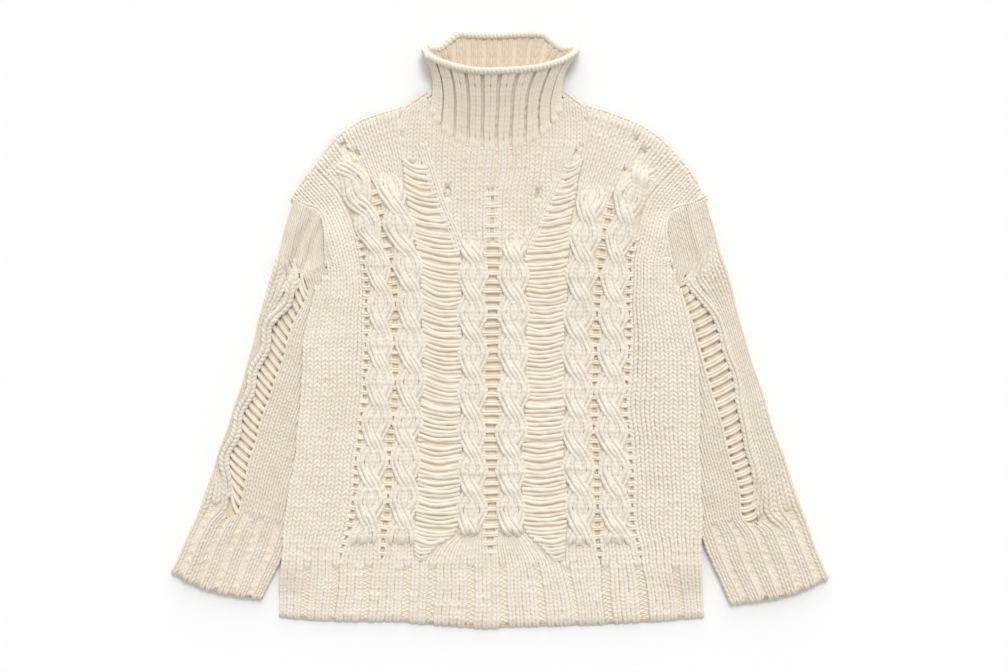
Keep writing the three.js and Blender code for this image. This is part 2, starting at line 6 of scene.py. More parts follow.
import bpy
import numpy as np
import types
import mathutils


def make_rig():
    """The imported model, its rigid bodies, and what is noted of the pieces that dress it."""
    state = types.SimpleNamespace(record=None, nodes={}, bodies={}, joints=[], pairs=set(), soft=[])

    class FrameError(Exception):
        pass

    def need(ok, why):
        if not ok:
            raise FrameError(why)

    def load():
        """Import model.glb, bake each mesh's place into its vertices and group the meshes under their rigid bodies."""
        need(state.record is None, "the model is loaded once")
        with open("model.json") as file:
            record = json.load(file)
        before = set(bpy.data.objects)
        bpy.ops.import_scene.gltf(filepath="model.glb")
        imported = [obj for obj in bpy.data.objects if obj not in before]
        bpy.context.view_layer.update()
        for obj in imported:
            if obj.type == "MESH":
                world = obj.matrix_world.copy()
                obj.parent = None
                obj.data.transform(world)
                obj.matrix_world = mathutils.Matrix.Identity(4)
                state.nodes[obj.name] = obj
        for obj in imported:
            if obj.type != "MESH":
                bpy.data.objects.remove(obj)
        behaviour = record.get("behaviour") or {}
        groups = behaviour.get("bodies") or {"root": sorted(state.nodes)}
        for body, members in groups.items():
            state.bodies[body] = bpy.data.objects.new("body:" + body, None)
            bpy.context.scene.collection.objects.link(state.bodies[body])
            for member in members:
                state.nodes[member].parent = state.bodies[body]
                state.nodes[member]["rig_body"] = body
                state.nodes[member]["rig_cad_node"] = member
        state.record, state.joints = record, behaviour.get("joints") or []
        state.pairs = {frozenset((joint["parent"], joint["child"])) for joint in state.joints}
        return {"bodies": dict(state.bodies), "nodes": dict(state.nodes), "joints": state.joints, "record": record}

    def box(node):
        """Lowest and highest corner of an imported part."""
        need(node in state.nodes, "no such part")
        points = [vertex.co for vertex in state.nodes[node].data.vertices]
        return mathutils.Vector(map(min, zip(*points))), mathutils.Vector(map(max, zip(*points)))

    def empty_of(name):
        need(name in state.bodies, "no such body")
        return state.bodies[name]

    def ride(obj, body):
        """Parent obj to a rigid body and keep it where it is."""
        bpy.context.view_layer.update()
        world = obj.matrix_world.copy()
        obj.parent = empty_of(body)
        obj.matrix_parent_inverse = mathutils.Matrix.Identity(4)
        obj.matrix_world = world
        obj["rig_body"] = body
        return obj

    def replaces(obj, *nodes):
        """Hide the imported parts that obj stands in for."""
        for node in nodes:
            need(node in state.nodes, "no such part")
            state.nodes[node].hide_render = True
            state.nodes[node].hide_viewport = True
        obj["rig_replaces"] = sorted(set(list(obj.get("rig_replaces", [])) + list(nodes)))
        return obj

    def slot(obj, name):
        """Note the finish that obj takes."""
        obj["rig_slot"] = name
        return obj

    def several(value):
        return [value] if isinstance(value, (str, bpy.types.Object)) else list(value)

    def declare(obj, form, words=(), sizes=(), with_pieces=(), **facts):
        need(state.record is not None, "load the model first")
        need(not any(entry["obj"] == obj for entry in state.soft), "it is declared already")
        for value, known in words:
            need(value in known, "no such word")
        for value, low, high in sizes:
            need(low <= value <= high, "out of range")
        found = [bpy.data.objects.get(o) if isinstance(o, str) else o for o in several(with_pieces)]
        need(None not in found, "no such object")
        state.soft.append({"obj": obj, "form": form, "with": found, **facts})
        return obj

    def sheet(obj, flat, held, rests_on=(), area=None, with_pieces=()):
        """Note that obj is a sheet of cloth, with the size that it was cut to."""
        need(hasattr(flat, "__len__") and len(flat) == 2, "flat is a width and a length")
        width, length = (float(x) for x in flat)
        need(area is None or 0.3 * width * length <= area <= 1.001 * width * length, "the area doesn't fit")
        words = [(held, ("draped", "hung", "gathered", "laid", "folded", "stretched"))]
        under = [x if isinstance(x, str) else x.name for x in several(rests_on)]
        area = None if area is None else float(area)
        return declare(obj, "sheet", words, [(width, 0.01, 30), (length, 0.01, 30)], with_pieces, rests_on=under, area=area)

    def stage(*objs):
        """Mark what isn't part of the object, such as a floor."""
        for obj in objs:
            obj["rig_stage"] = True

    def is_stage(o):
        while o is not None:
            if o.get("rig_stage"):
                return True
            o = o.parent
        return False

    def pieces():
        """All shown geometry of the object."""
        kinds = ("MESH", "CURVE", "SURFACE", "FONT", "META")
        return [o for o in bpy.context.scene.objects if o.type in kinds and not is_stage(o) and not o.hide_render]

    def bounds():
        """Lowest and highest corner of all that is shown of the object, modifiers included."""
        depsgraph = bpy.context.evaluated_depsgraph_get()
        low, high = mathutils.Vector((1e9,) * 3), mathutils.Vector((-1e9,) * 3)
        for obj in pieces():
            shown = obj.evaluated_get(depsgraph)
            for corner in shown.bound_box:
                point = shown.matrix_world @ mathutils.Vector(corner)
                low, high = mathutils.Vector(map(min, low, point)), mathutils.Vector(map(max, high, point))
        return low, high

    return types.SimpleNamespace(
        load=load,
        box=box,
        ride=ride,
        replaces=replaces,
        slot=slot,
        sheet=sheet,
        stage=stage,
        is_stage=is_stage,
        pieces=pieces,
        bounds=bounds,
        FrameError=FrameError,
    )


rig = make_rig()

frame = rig.load()
cad_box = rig.bounds()

MM = 0.001

# Cloth, in millimetres: the same sizes as the solids.
WALL = 3.0
GAP = 0.3
LAYER = WALL + GAP
LIFT = 2 * LAYER
SHELL = 0.9  # thin shell under the stitches
STITCH_FOOT = 0.7  # stitches start this high over the inside of the cloth
ROW = 5.3  # height of a row of stitches
CABLE = 3.2
RIB = 2.2

# Heights up from the hem.
HEM_TOP = 76.0
HEM_END = 107.0
CABLES_FROM = 112.0
CENTRE_CABLES_TO = 458.0
ARM_PIT = 466.0
LIFT_TO_TOP = 508.0
LIFT_FROM, LIFT_FULL = 36.0, 78.0
YOKE_FROM, YOKE_MID, YOKE_TOP = 439.0, 520.0, 590.0

LINES = ["left", "aOut", "ab", "bIn", "cOut", "cdLeft", "cdRight", "dOut", "eIn", "ef", "fOut", "right"]
BODY = [
    # y, left, aOut, ab, bIn, cOut, cdLeft, cdRight, dOut, eIn, ef, fOut, right
    [0, -259, -193, -144, -95, -93, -6, -4, 91, 93, 132, 187, 250],
    [46, -259, -188, -139, -93, -91, -6, -4, 85, 87, 127, 181, 250],
    [79, -257, -185, -136, -92, -88, -7, -3, 77, 81, 126, 176, 248],
    [100, -254, -182, -134, -92, -74, -8, -2, 58, 81, 125, 172, 248],
    [118, -253, -176, -133, -92, -49, -10, 1, 39, 83, 124, 167, 248],
    [166, -247, -169, -128, -91, -46, -11, 2, 36, 82, 122, 164, 247],
    [214, -239, -164, -126, -89, -44, -11, 2, 37, 79, 121, 162, 246],
    [274, -233, -158, -121, -85, -44, -11, 4, 40, 80, 119, 157, 245],
    [334, -231, -154, -120, -84, -44, -10, 4, 41, 80, 121, 160, 242],
    [394, -218, -155, -120, -85, -44, -10, 4, 41, 82, 124, 161, 226],
    [YOKE_FROM, -200, -156, -125, -89, -43, -10, 4, 38, 84, 126, 161, 208],
]
# Each line's point at the yoke's middle and at the shoulder edge, and how far the hem's edge rises.
YOKE = {
    "aOut": [[-180, 510], [-218, 556], 9],
    "ab": [[-149, 536], [-178, 600], 8],
    "bIn": [[-106, 536], [-116, 625], 6],
    "cOut": [[-76, 532], [-108, 627], 6],
    "cdLeft": [[-9, 534], [-10, 648], 0],
    "cdRight": [[4, 534], [8, 648], 0],
    "dOut": [[78, 534], [108, 629], 4],
    "eIn": [[96, 536], [116, 627], 4],
    "ef": [[146, 532], [178, 602], 6],
    "fOut": [[184, 514], [224, 562], 7],
}
SEAM = {
    "left": [[YOKE_FROM, -200, 439], [ARM_PIT, -200, 466], [495, -203, 488],
             [530, -212, 503], [560, -228, 509], [YOKE_TOP, -242, 518]],
    "right": [[YOKE_FROM, 208, 439], [ARM_PIT, 203, 466], [495, 205, 489],
              [530, 214, 502], [560, 234, 508], [YOKE_TOP, 253, 518]],
}
HEM_CORNER = 13.0

SLEEVE = {
    "left": [
        # run, outer x, y, inner x, y, ladder out, ladder in
        [0, -237, 528, -172, 486, 0.60, 0.66],
        [60, -260, 454, -190, 408, 0.55, 0.64],
        [125, -280, 382, -183, 345, 0.21, 0.40],
        [190, -298, 316, -196, 280, 0.13, 0.35],
        [255, -316, 256, -213, 226, 0.12, 0.34],
        [320, -336, 196, -231, 168, 0.13, 0.35],
        [380, -359, 136, -250, 100, 0.38, 0.44],
        [452, -388, 68, -281, 35, 0.48, 0.52],
    ],
    "right": [
        [0, 248, 528, 176, 486, 0.60, 0.66],
        [60, 268, 466, 192, 408, 0.62, 0.72],
        [125, 288, 394, 188, 340, 0.27, 0.50],
        [190, 308, 322, 205, 274, 0.22, 0.50],
        [255, 330, 256, 224, 202, 0.29, 0.50],
        [320, 352, 190, 237, 154, 0.34, 0.52],
        [380, 376, 124, 250, 106, 0.52, 0.60],
        [452, 400, 60, 283, 30, 0.50, 0.54],
    ],
}
SLEEVE_LENGTH = 452.0
CUFF_FROM = 368.0
CUFF_SAG = 8.0
TUCK = {
    "left": [[0, -262], [100, -250], [226, -213], [280, -196], [345, -183], [415, -186],
             [ARM_PIT, -199], [600, -200]],
    "right": [[0, 260], [106, 250], [202, 224], [274, 205], [340, 188], [415, 189],
              [ARM_PIT, 202], [600, 203]],
}
TUCK_CLEAR = 5.0

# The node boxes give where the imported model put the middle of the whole.
ORIGIN = np.array([400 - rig.box("sleeve_right_front")[1].x / MM, -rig.box("front")[0].y / MM, 0.0])


def clamp(t):
    return np.clip(t, 0.0, 1.0)


def smooth(a, b, t):
    k = clamp((np.asarray(t, float) - a) / (b - a))
    return k * k * (3 - 2 * k)


def mix(a, b, t):
    return a + (b - a) * t


def follow(rows, at):
    """A smooth curve through rows of [at, values...]: an array of one column for each value."""
    rows = np.array(rows, float)
    keys, values = rows[:, 0], rows[:, 1:]
    at = np.atleast_1d(np.asarray(at, float))
    i = np.clip(np.searchsorted(keys, at, side="right") - 1, 0, len(keys) - 2)
    before, after = np.maximum(i - 1, 0), np.minimum(i + 2, len(keys) - 1)
    span = (keys[i + 1] - keys[i])[:, None]
    t = clamp((at - keys[i])[:, None] / span)
    slope_in = (values[i + 1] - values[before]) / (keys[i + 1] - keys[before])[:, None]
    slope_out = (values[after] - values[i]) / (keys[after] - keys[i])[:, None]
    t2, t3 = t * t, t ** 3
    return ((2 * t3 - 3 * t2 + 1) * values[i] + (t3 - 2 * t2 + t) * span * slope_in
            + (3 * t2 - 2 * t3) * values[i + 1] + (t3 - t2) * span * slope_out)


# Every line of the front, once a millimetre.
STEPS = np.arange(0, YOKE_TOP + 0.5, 1.0)


def trace(name):
    low = STEPS[STEPS <= YOKE_FROM]
    high = STEPS[STEPS > YOKE_FROM]
    x = follow(BODY, low)[:, LINES.index(name)]
    rise = HEM_CORNER if name in SEAM else YOKE[name][2]
    below = np.stack([x, low + rise * (1 - clamp(low / 60))], 1)
    if name in SEAM:
        return np.vstack([below, follow(SEAM[name], high)])
    middle, top, _ = YOKE[name]
    keys = [[YOKE_FROM - 60, *below[int(YOKE_FROM) - 60]], [YOKE_FROM, *below[-1]], [YOKE_MID, *middle],
            [YOKE_TOP, *top]]
    return np.vstack([below, follow(keys, high)])


TRACES = {name: trace(name) for name in LINES}


def line(name, v):
    """Points of a line at runs v: the last axis holds x and y."""
    points = TRACES[name]
    return np.stack([np.interp(v, STEPS, points[:, 0]), np.interp(v, STEPS, points[:, 1])], -1)


# Hole columns: from and to which run they are open, and half their width.
HOLES = {"aOut": (91, 462, 1.5), "ab": (88, 514, 2.4), "ef": (84, 500, 2.4), "fOut": (87, 462, 1.5)}


def half_gap(name, v):
    if name not in HOLES:
        return np.zeros_like(v)
    low, high, half = HOLES[name]
    return half * smooth(low - 8, low + 4, v) * (1 - smooth(high, high + 14, v))


def across(first, last, share, v):
    """Points between two lines, clear of the hole columns on them: shares by runs by (x, y)."""
    a, b = line(first, v), line(last, v)
    way = b - a
    unit = way / np.maximum(np.linalg.norm(way, axis=-1, keepdims=True), 1e-6)
    a = a + unit * half_gap(first, v)[..., None]
    b = b - unit * half_gap(last, v)[..., None]
    share = np.asarray(share, float)
    return a[None] + (b - a)[None] * share[:, None, None]


EYELETS = [
    # x and y of the middle, width, height
    [-5, 519, 7, 12], [-56, 523, 7, 12], [48, 520, 6, 11], [-179, 577, 9, 14], [-165, 569, 7, 9],
    [174, 569, 9, 15], [167, 585, 6, 9], [154, 550, 6, 8], [-103, 552, 7, 6], [94, 573, 6, 6],
]
CREASES = [
    # x and y of both ends, half width, depth (a ridge where negative)
    [-197, 389, -212, 354, 5, 2.2],
    [-205, 372, -207, 330, 6, 1.2],
    [-216, 502, -254, 412, 5, 3.2],
    [-206, 494, -234, 424, 4, 2.4],
    [-229, 500, -262, 420, 6, -2.0],
    [-211, 494, -244, 420, 4, -1.6],
    [-228, 420, -210, 436, 4, -1.4],
    [262, 470, 247, 410, 7, 1.8],
    [230, 486, 216, 420, 6, 1.8],
    [-300, 150, -282, 96, 6, 1.4],
    [300, 120, 318, 84, 6, 1.2],
]


def crease(x, y):
    """How far soft creases press the cloth down at (x, y)."""
    total = np.zeros_like(x)
    for x0, y0, x1, y1, wide, depth in CREASES:
        long2 = (x1 - x0) ** 2 + (y1 - y0) ** 2
        t = ((x - x0) * (x1 - x0) + (y - y0) * (y1 - y0)) / long2
        away = np.hypot(x - x0 - clamp(t) * (x1 - x0), y - y0 - clamp(t) * (y1 - y0))
        fade = 1 - (2 * clamp(t) - 1) ** 4
        total += depth * np.exp(-(away / wide) ** 2) * (0.3 + 0.7 * fade)
    return total


def lift(x, y):
    """How far the body is raised by the sleeve that is tucked under its side."""
    along = smooth(LIFT_FROM, LIFT_FULL, y) * (1 - smooth(ARM_PIT, LIFT_TO_TOP, y))
    height = np.zeros_like(x)
    for side, inward, first in (("left", 1, "aOut"), ("right", -1, "fOut")):
        under = np.interp(y, *np.array(TUCK[side], float).T) + inward * TUCK_CLEAR
        inner = np.interp(y, TRACES[first][:, 1], TRACES[first][:, 0])
        way = np.maximum((inner - under) * inward, 10)
        height = np.maximum(height, 1 - smooth(0, 1, (x - under) * inward / way))
    return LIFT * along * height


# Knitting
LEG_ALONG, LEG_ROUND = 6, 5


def leg_template(first, spread, thickness, reach=0.46, arch=0.05):
    """One leg of a stitch, in widths across and up and in rows along: it reaches over the rows beside."""
    t = np.linspace(0, 1, LEG_ALONG)[:, None]
    turn = np.linspace(-math.pi / 2, math.pi / 2, LEG_ROUND)[None, :]
    thick = thickness * np.sin(math.pi * (0.08 + 0.84 * t)) ** 0.5
    a = first + spread * t + thick * np.sin(turn)
    b = -reach + (0.8 + 2 * reach) * t + 0 * turn
    c = arch * np.sin(math.pi * t) + thick * np.cos(turn) * 1.05
    return np.stack([a, b, c], -1).reshape(-1, 3)


def grid_faces(rows, columns, flip=False, closed=False):
    """Quads of a grid of points, row by row."""
    i, j = np.meshgrid(np.arange(rows - 1), np.arange(columns if closed else columns - 1), indexing="ij")
    k = (j + 1) % columns
    faces = np.stack([i * columns + j, i * columns + k, (i + 1) * columns + k, (i + 1) * columns + j], -1)
    faces = faces.reshape(-1, 4)
    return faces[:, ::-1] if flip else faces


LEG = leg_template(0.14, 0.21, 0.25, 0.50, 0.06)
HEM_LEG = leg_template(0.17, 0.13, 0.26, 0.75, 0.09)
ROPE_LEG = leg_template(0.18, 0.11, 0.25, 0.85, 0.10) * [1, 1, 0.78]
CORD_LEG = leg_template(0.17, 0.07, 0.31, 1.1, 0.10)  # steeper, for ribs that look like cords
LEG_FACES = grid_faces(LEG_ALONG, LEG_ROUND)


def unit(v):
    return v / np.maximum(np.linalg.norm(v, axis=-1, keepdims=True), 1e-9)


def uneven(points):
    """Hand-laid cloth is nowhere quite straight: the same slow wander for every piece."""
    x, y = points[:, 0], points[:, 1]
    moved = points.copy()
    moved[:, 0] += 0.8 * np.sin(y / 21 + 1.3 * np.sin(x / 33)) + 0.5 * np.sin(y / 9.7 + x / 19)
    moved[:, 1] += 0.7 * np.sin(x / 25 + 1.1 * np.sin(y / 41)) + 0.4 * np.sin(x / 11.3 - y / 27)
    return moved


class Mesh:
    """Gathers points and quads, in millimetres from the hem's lowest point."""

    def __init__(self):
        self.points, self.faces, self.count = [], [], 0

    def add(self, points, faces):
        points = points.reshape(-1, 3)
        self.points.append(points)
        self.faces.append(faces + self.count)
        self.count += len(points)

    def many(self, points, faces):
        """points holds one block of points for each copy, all with the same faces."""
        copies, size = points.shape[0], points.shape[1]
        shift = (np.arange(copies) * size)[:, None, None]
        self.add(points, (faces[None] + shift).reshape(-1, faces.shape[1]))

    def build(self, name, material, soft=True):
        points = (uneven(np.vstack(self.points)) - ORIGIN) * MM
        points[:, 2] = np.maximum(points[:, 2], 0)  # the cloth lies on the surface
        faces = np.vstack(self.faces)
        mesh = bpy.data.meshes.new(name)
        mesh.vertices.add(len(points))
        mesh.vertices.foreach_set("co", points.astype(np.float32).ravel())
        mesh.loops.add(faces.size)
        mesh.loops.foreach_set("vertex_index", faces.astype(np.int32).ravel())
        mesh.polygons.add(len(faces))
        mesh.polygons.foreach_set("loop_start", np.arange(0, faces.size, faces.shape[1], dtype=np.int32))
        mesh.polygons.foreach_set("use_smooth", np.full(len(faces), soft))
        mesh.update(calc_edges=True)
        mesh.validate()
        mesh.materials.append(material)
        made = bpy.data.objects.new(name, mesh)
        bpy.context.scene.collection.objects.link(made)
        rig.ride(made, "root")
        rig.slot(made, "wool")
        return made


def legs(mesh, low, high, normal, width, leg=LEG, jitter=0.05):
    """Two legs for each stitch from point low to point high."""
    along = high - low
    up = unit(normal)
    side = unit(np.cross(along, up))
    up = unit(np.cross(side, along))
    rng = np.random.default_rng(len(low) * 7 + 3)
    wide = width[:, None] * (1 + jitter * rng.standard_normal((len(low), 1)))
    for way in (-1, 1):
        nudge = 0.02 * rng.standard_normal((len(low), 1, 1))
        points = (low[:, None] + along[:, None] * (leg[None, :, 1:2] + nudge)
                  + side[:, None] * (way * leg[None, :, 0:1] * wide[:, None])
                  + up[:, None] * (leg[None, :, 2:3] * wide[:, None]))
        mesh.many(points, LEG_FACES if way > 0 else LEG_FACES[:, ::-1])


def knit(mesh, grid, width=None, normals=None, keep=None, leg=LEG):
    """Stitches along wales: grid holds wales by rows by (x, y, z)."""
    if normals is None:
        normals = unit(np.cross(np.gradient(grid, axis=0), np.gradient(grid, axis=1)))
    if width is None:
        width = np.linalg.norm(np.gradient(grid, axis=0), axis=-1)
    low, high = grid[:, :-1], grid[:, 1:]
    normal = (normals[:, :-1] + normals[:, 1:]) / 2
    wide = (width[:, :-1] + width[:, 1:]) / 2
    if keep is None:
        keep = np.ones(low.shape[:2], bool)
    if keep.any():
        legs(mesh, low[keep], high[keep], normal[keep], wide[keep], leg)


def cords(mesh, grid, width, normals):
    knit(mesh, grid, width, normals, leg=CORD_LEG)


def purl(mesh, grid, width, normals):
    """Purl wales: in each row one low bump that slants up and one that slants down."""
    t = np.linspace(-1, 1, 5)[:, None]
    turn = np.linspace(-math.pi / 2, math.pi / 2, 5)[None, :]
    thick = np.sqrt(np.maximum(1 - (0.95 * t) ** 2, 0.03))
    over = 0.36 * t + 0 * turn
    template = np.stack([over, thick * np.sin(turn) * 0.27, thick * np.cos(turn) * 0.17], -1).reshape(-1, 3)
    slant = 0.9 * template[:, 0:1]
    faces = grid_faces(5, 5, flip=True)
    low, high = grid[:, :-1].reshape(-1, 3), grid[:, 1:].reshape(-1, 3)
    wide = ((width[:, :-1] + width[:, 1:]) / 2).reshape(-1, 1, 1)
    up = unit(((normals[:, :-1] + normals[:, 1:]) / 2).reshape(-1, 3))
    along = high - low
    side = unit(np.cross(along, up))
    rng = np.random.default_rng(len(low) * 5 + 1)
    for at, bend, shift in ((0.22, 1, -0.09), (0.72, -1, 0.09)):
        jitter = 1.6 * shift + 0.10 * rng.standard_normal((len(low), 1, 1))
        points = (low[:, None] + along[:, None] * (at + template[None, :, 1:2] + bend * slant[None])
                  + side[:, None] * (template[None, :, 0:1] + jitter) * wide
                  + up[:, None] * template[None, :, 2:3] * wide)
        mesh.many(points, faces)


def strand(mesh, paths, radius, sides=7):
    """Round yarns: paths holds yarns by points by (x, y, z)."""
    along = unit(np.gradient(paths, axis=1))
    up = np.array([0.0, 0.0, 1.0])
    side = unit(np.cross(along, up))
    top = unit(np.cross(side, along))
    turn = np.linspace(0, 2 * math.pi, sides, endpoint=False)
    radius = np.broadcast_to(radius, paths.shape[:2])[..., None, None]
    points = (paths[:, :, None] + radius * (np.cos(turn)[None, None, :, None] * side[:, :, None]
                                            + np.sin(turn)[None, None, :, None] * top[:, :, None]))
    count, length = paths.shape[:2]
    faces = grid_faces(length, sides, closed=True, flip=True)
    mesh.many(points.reshape(count, length * sides, 3), faces)


def in_eyelet(x, y, margin):
    """Whether points are within an eyelet, or within a margin of it."""
    found = np.zeros(np.shape(x), bool)
    for hole_x, hole_y, wide, tall in EYELETS:
        found |= ((x - hole_x) / (wide / 2 + margin)) ** 2 + ((y - hole_y) / (tall / 2 + margin)) ** 2 < 1
    return found


def shell(mesh, top, bottom):
    """A closed thin wall between two grids of the same size, open at the eyelets."""
    rows, columns = top.shape[:2]
    size = rows * columns
    i = np.arange(size).reshape(rows, columns)
    corners = (i[:-1, :-1], i[:-1, 1:], i[1:, 1:], i[1:, :-1])
    middle = (top[:-1, :-1] + top[1:, 1:]) / 2
    kept = ~in_eyelet(middle[..., 0], middle[..., 1], 0.5) | (middle[..., 2] < LAYER)
    around = np.pad(kept, 1)
    over = np.stack([corner[kept] for corner in corners], -1)
    faces = [over, over[:, ::-1] + size]
    for k, (down, along) in enumerate(((0, 1), (1, 2), (2, 1), (1, 0))):
        edge = kept & ~around[down:down + rows - 1, along:along + columns - 1]
        a, b = corners[k][edge], corners[(k + 1) % 4][edge]
        faces.append(np.stack([a, a + size, b + size, b], -1))
    mesh.add(np.concatenate([top.reshape(-1, 3), bottom.reshape(-1, 3)]), np.vstack(faces))


# Materials
def link(tree, a, b):
    tree.links.new(a, b)


def wool(name, tint, depth=0.5, fibre=0.35):
    """Matte cream wool: mottled colour, a fine nap and short twisted fibres as bump."""
    material = bpy.data.materials.new(name)
    material.use_nodes = True
    tree = material.node_tree
    shader = tree.nodes["Principled BSDF"]
    shader.inputs["Roughness"].default_value = 0.92
    shader.inputs["Specular IOR Level"].default_value = 0.18
    shader.inputs["Sheen Weight"].default_value = 0.30
    shader.inputs["Sheen Roughness"].default_value = 0.45
    shader.inputs["Sheen Tint"].default_value = (1.0, 0.97, 0.92, 1)
    place = tree.nodes.new("ShaderNodeTexCoord")
    patch = tree.nodes.new("ShaderNodeTexNoise")
    patch.inputs["Scale"].default_value = 45
    patch.inputs["Detail"].default_value = 4
    link(tree, place.outputs["Object"], patch.inputs["Vector"])
    speck = tree.nodes.new("ShaderNodeTexNoise")
    speck.inputs["Scale"].default_value = 900
    speck.inputs["Detail"].default_value = 3
    link(tree, place.outputs["Object"], speck.inputs["Vector"])
    blend = tree.nodes.new("ShaderNodeMix")
    blend.data_type = "FLOAT"
    blend.inputs["Factor"].default_value = 0.5
    link(tree, patch.outputs["Fac"], blend.inputs["A"])
    link(tree, speck.outputs["Fac"], blend.inputs["B"])
    ramp = tree.nodes.new("ShaderNodeValToRGB")
    ramp.color_ramp.elements[0].position = 0.32
    ramp.color_ramp.elements[0].color = (*[c * k for c, k in zip(tint, (0.93, 0.91, 0.87))], 1)
    ramp.color_ramp.elements[1].position = 0.68
    ramp.color_ramp.elements[1].color = (*[min(1, c * 1.04) for c in tint], 1)
    link(tree, blend.outputs["Result"], ramp.inputs["Fac"])
    link(tree, ramp.outputs["Color"], shader.inputs["Base Color"])
    stretch = tree.nodes.new("ShaderNodeMapping")
    stretch.inputs["Scale"].default_value = (1.0, 0.28, 1.0)
    link(tree, place.outputs["Object"], stretch.inputs["Vector"])
    hair = tree.nodes.new("ShaderNodeTexNoise")
    hair.inputs["Scale"].default_value = 1500
    hair.inputs["Detail"].default_value = 4
    hair.inputs["Distortion"].default_value = 0.6
    link(tree, stretch.outputs["Vector"], hair.inputs["Vector"])
    bump = tree.nodes.new("ShaderNodeBump")
    bump.inputs["Strength"].default_value = fibre
    bump.inputs["Distance"].default_value = depth * MM
    link(tree, hair.outputs["Fac"], bump.inputs["Height"])
    link(tree, bump.outputs["Normal"], shader.inputs["Normal"])
    return material


def knit_bump(name, tint):
    """Wool for cloth seen from inside or below, with its stitches as bump."""
    material = wool(name, tint)
    tree = material.node_tree
    place = tree.nodes.new("ShaderNodeTexCoord")
    rows = tree.nodes.new("ShaderNodeTexWave")
    rows.bands_direction = "Y"
    rows.inputs["Scale"].default_value = 1000 / ROW / math.pi / 2
    rows.inputs["Distortion"].default_value = 1.5
    wales = tree.nodes.new("ShaderNodeTexWave")
    wales.inputs["Scale"].default_value = 1000 / 9.2 / math.pi / 2
    wales.inputs["Distortion"].default_value = 1.0
    for wave in (rows, wales):
        link(tree, place.outputs["Object"], wave.inputs["Vector"])
    both = tree.nodes.new("ShaderNodeMath")
    both.operation = "MULTIPLY"
    link(tree, rows.outputs["Fac"], both.inputs[0])
    link(tree, wales.outputs["Fac"], both.inputs[1])
    bump = tree.nodes.new("ShaderNodeBump")
    bump.inputs["Strength"].default_value = 0.8
    bump.inputs["Distance"].default_value = 1.5 * MM
    link(tree, both.outputs["Value"], bump.inputs["Height"])
    shader = tree.nodes["Principled BSDF"]
    fine = tree.nodes["Bump"]
    link(tree, bump.outputs["Normal"], fine.inputs["Normal"])
    link(tree, fine.outputs["Normal"], shader.inputs["Normal"])
    return material


def twisted(name, tint):
    """Wool yarn with its plies' twist as slanting bumps."""
    material = wool(name, tint)
    tree = material.node_tree
    place = tree.nodes.new("ShaderNodeTexCoord")
    plies = tree.nodes.new("ShaderNodeTexWave")
    plies.bands_direction = "DIAGONAL"
    plies.inputs["Scale"].default_value = 1000 / 5.5 / math.pi / 2
    plies.inputs["Distortion"].default_value = 2.0
    link(tree, place.outputs["Object"], plies.inputs["Vector"])
    bump = tree.nodes.new("ShaderNodeBump")
    bump.inputs["Strength"].default_value = 0.6
    bump.inputs["Distance"].default_value = 0.9 * MM
    link(tree, plies.outputs["Fac"], bump.inputs["Height"])
    link(tree, bump.outputs["Normal"], tree.nodes["Bump"].inputs["Normal"])
    return material


CREAM = (0.845, 0.778, 0.678)
# The ladder strands' wool is tinted a touch warmer: painted warm shade, so the shading between the strands reads tan.
loose = twisted("wool_loose", tuple(c * k for c, k in zip(CREAM, (1.0, 0.988, 0.96))))
yarn = wool("wool_yarn", CREAM)
# The lining seen between stitches, in ladder gaps and in eyelets is tinted darker and warmer: painted shade for these
# hollows.
lining_painted_shade = knit_bump("wool_deep", tuple(c * k for c, k in zip(CREAM, (1.0, 0.955, 0.895))))
# The sleeves' knit is darkened: painted shade for sleeves that slope away from the light. It is the same yarn as the
# body.
sleeve_painted_shade = wool("wool_sleeve", tuple(c * k for c, k in zip(CREAM, (0.935, 0.925, 0.91))))
# The collar's outside is lightened: painted light for a collar front that faces away from the key light.
collar_painted_light = wool("wool_collar", tuple(c * k for c, k in zip(CREAM, (1.06, 1.04, 1.02))))
# The collar's inner face is darkened to a tan: painted shade for the inner back ribs that lie in the collar's shadow.
collar_inside_painted_shade = wool("wool_collar_inside", tuple(c * k for c, k in zip(CREAM, (0.93, 0.895, 0.84))))
# The back's inner face, seen through the ladders, is lightened and warmed: painted light that offsets the shade it
# lies in.
inside = knit_bump("wool_inside", tuple(c * k for c, k in zip(CREAM, (1.02, 0.995, 0.95))))


# Front
def rows_between(low, high, pitch=ROW):
    return np.linspace(low, high, int(round(abs(high - low) / pitch)) + 1)


def edge_drop(x, y):
    """The body's side edges round down."""
    drop = np.zeros_like(x)
    for side, inward in (("left", 1), ("right", -1)):
        at = np.interp(y, TRACES[side][:, 1], TRACES[side][:, 0])
        near = clamp(1 - (x - at) * inward / 9.0)
        drop = np.maximum(drop, 2.6 * (1 - np.sqrt(1 - near * near * 0.98)))
    return drop


def front_base(points):
    """The inside height of the front at (x, y)."""
    x, y = points[..., 0], points[..., 1]
    return LAYER + lift(x, y)


def raise_to(points, height):
    return np.concatenate([points, np.asarray(height)[..., None]], -1)


def top_round(v):
    return 2.2 * smooth(YOKE_TOP - 6, YOKE_TOP, v) + 2.4 * (1 - smooth(0, 8, v))


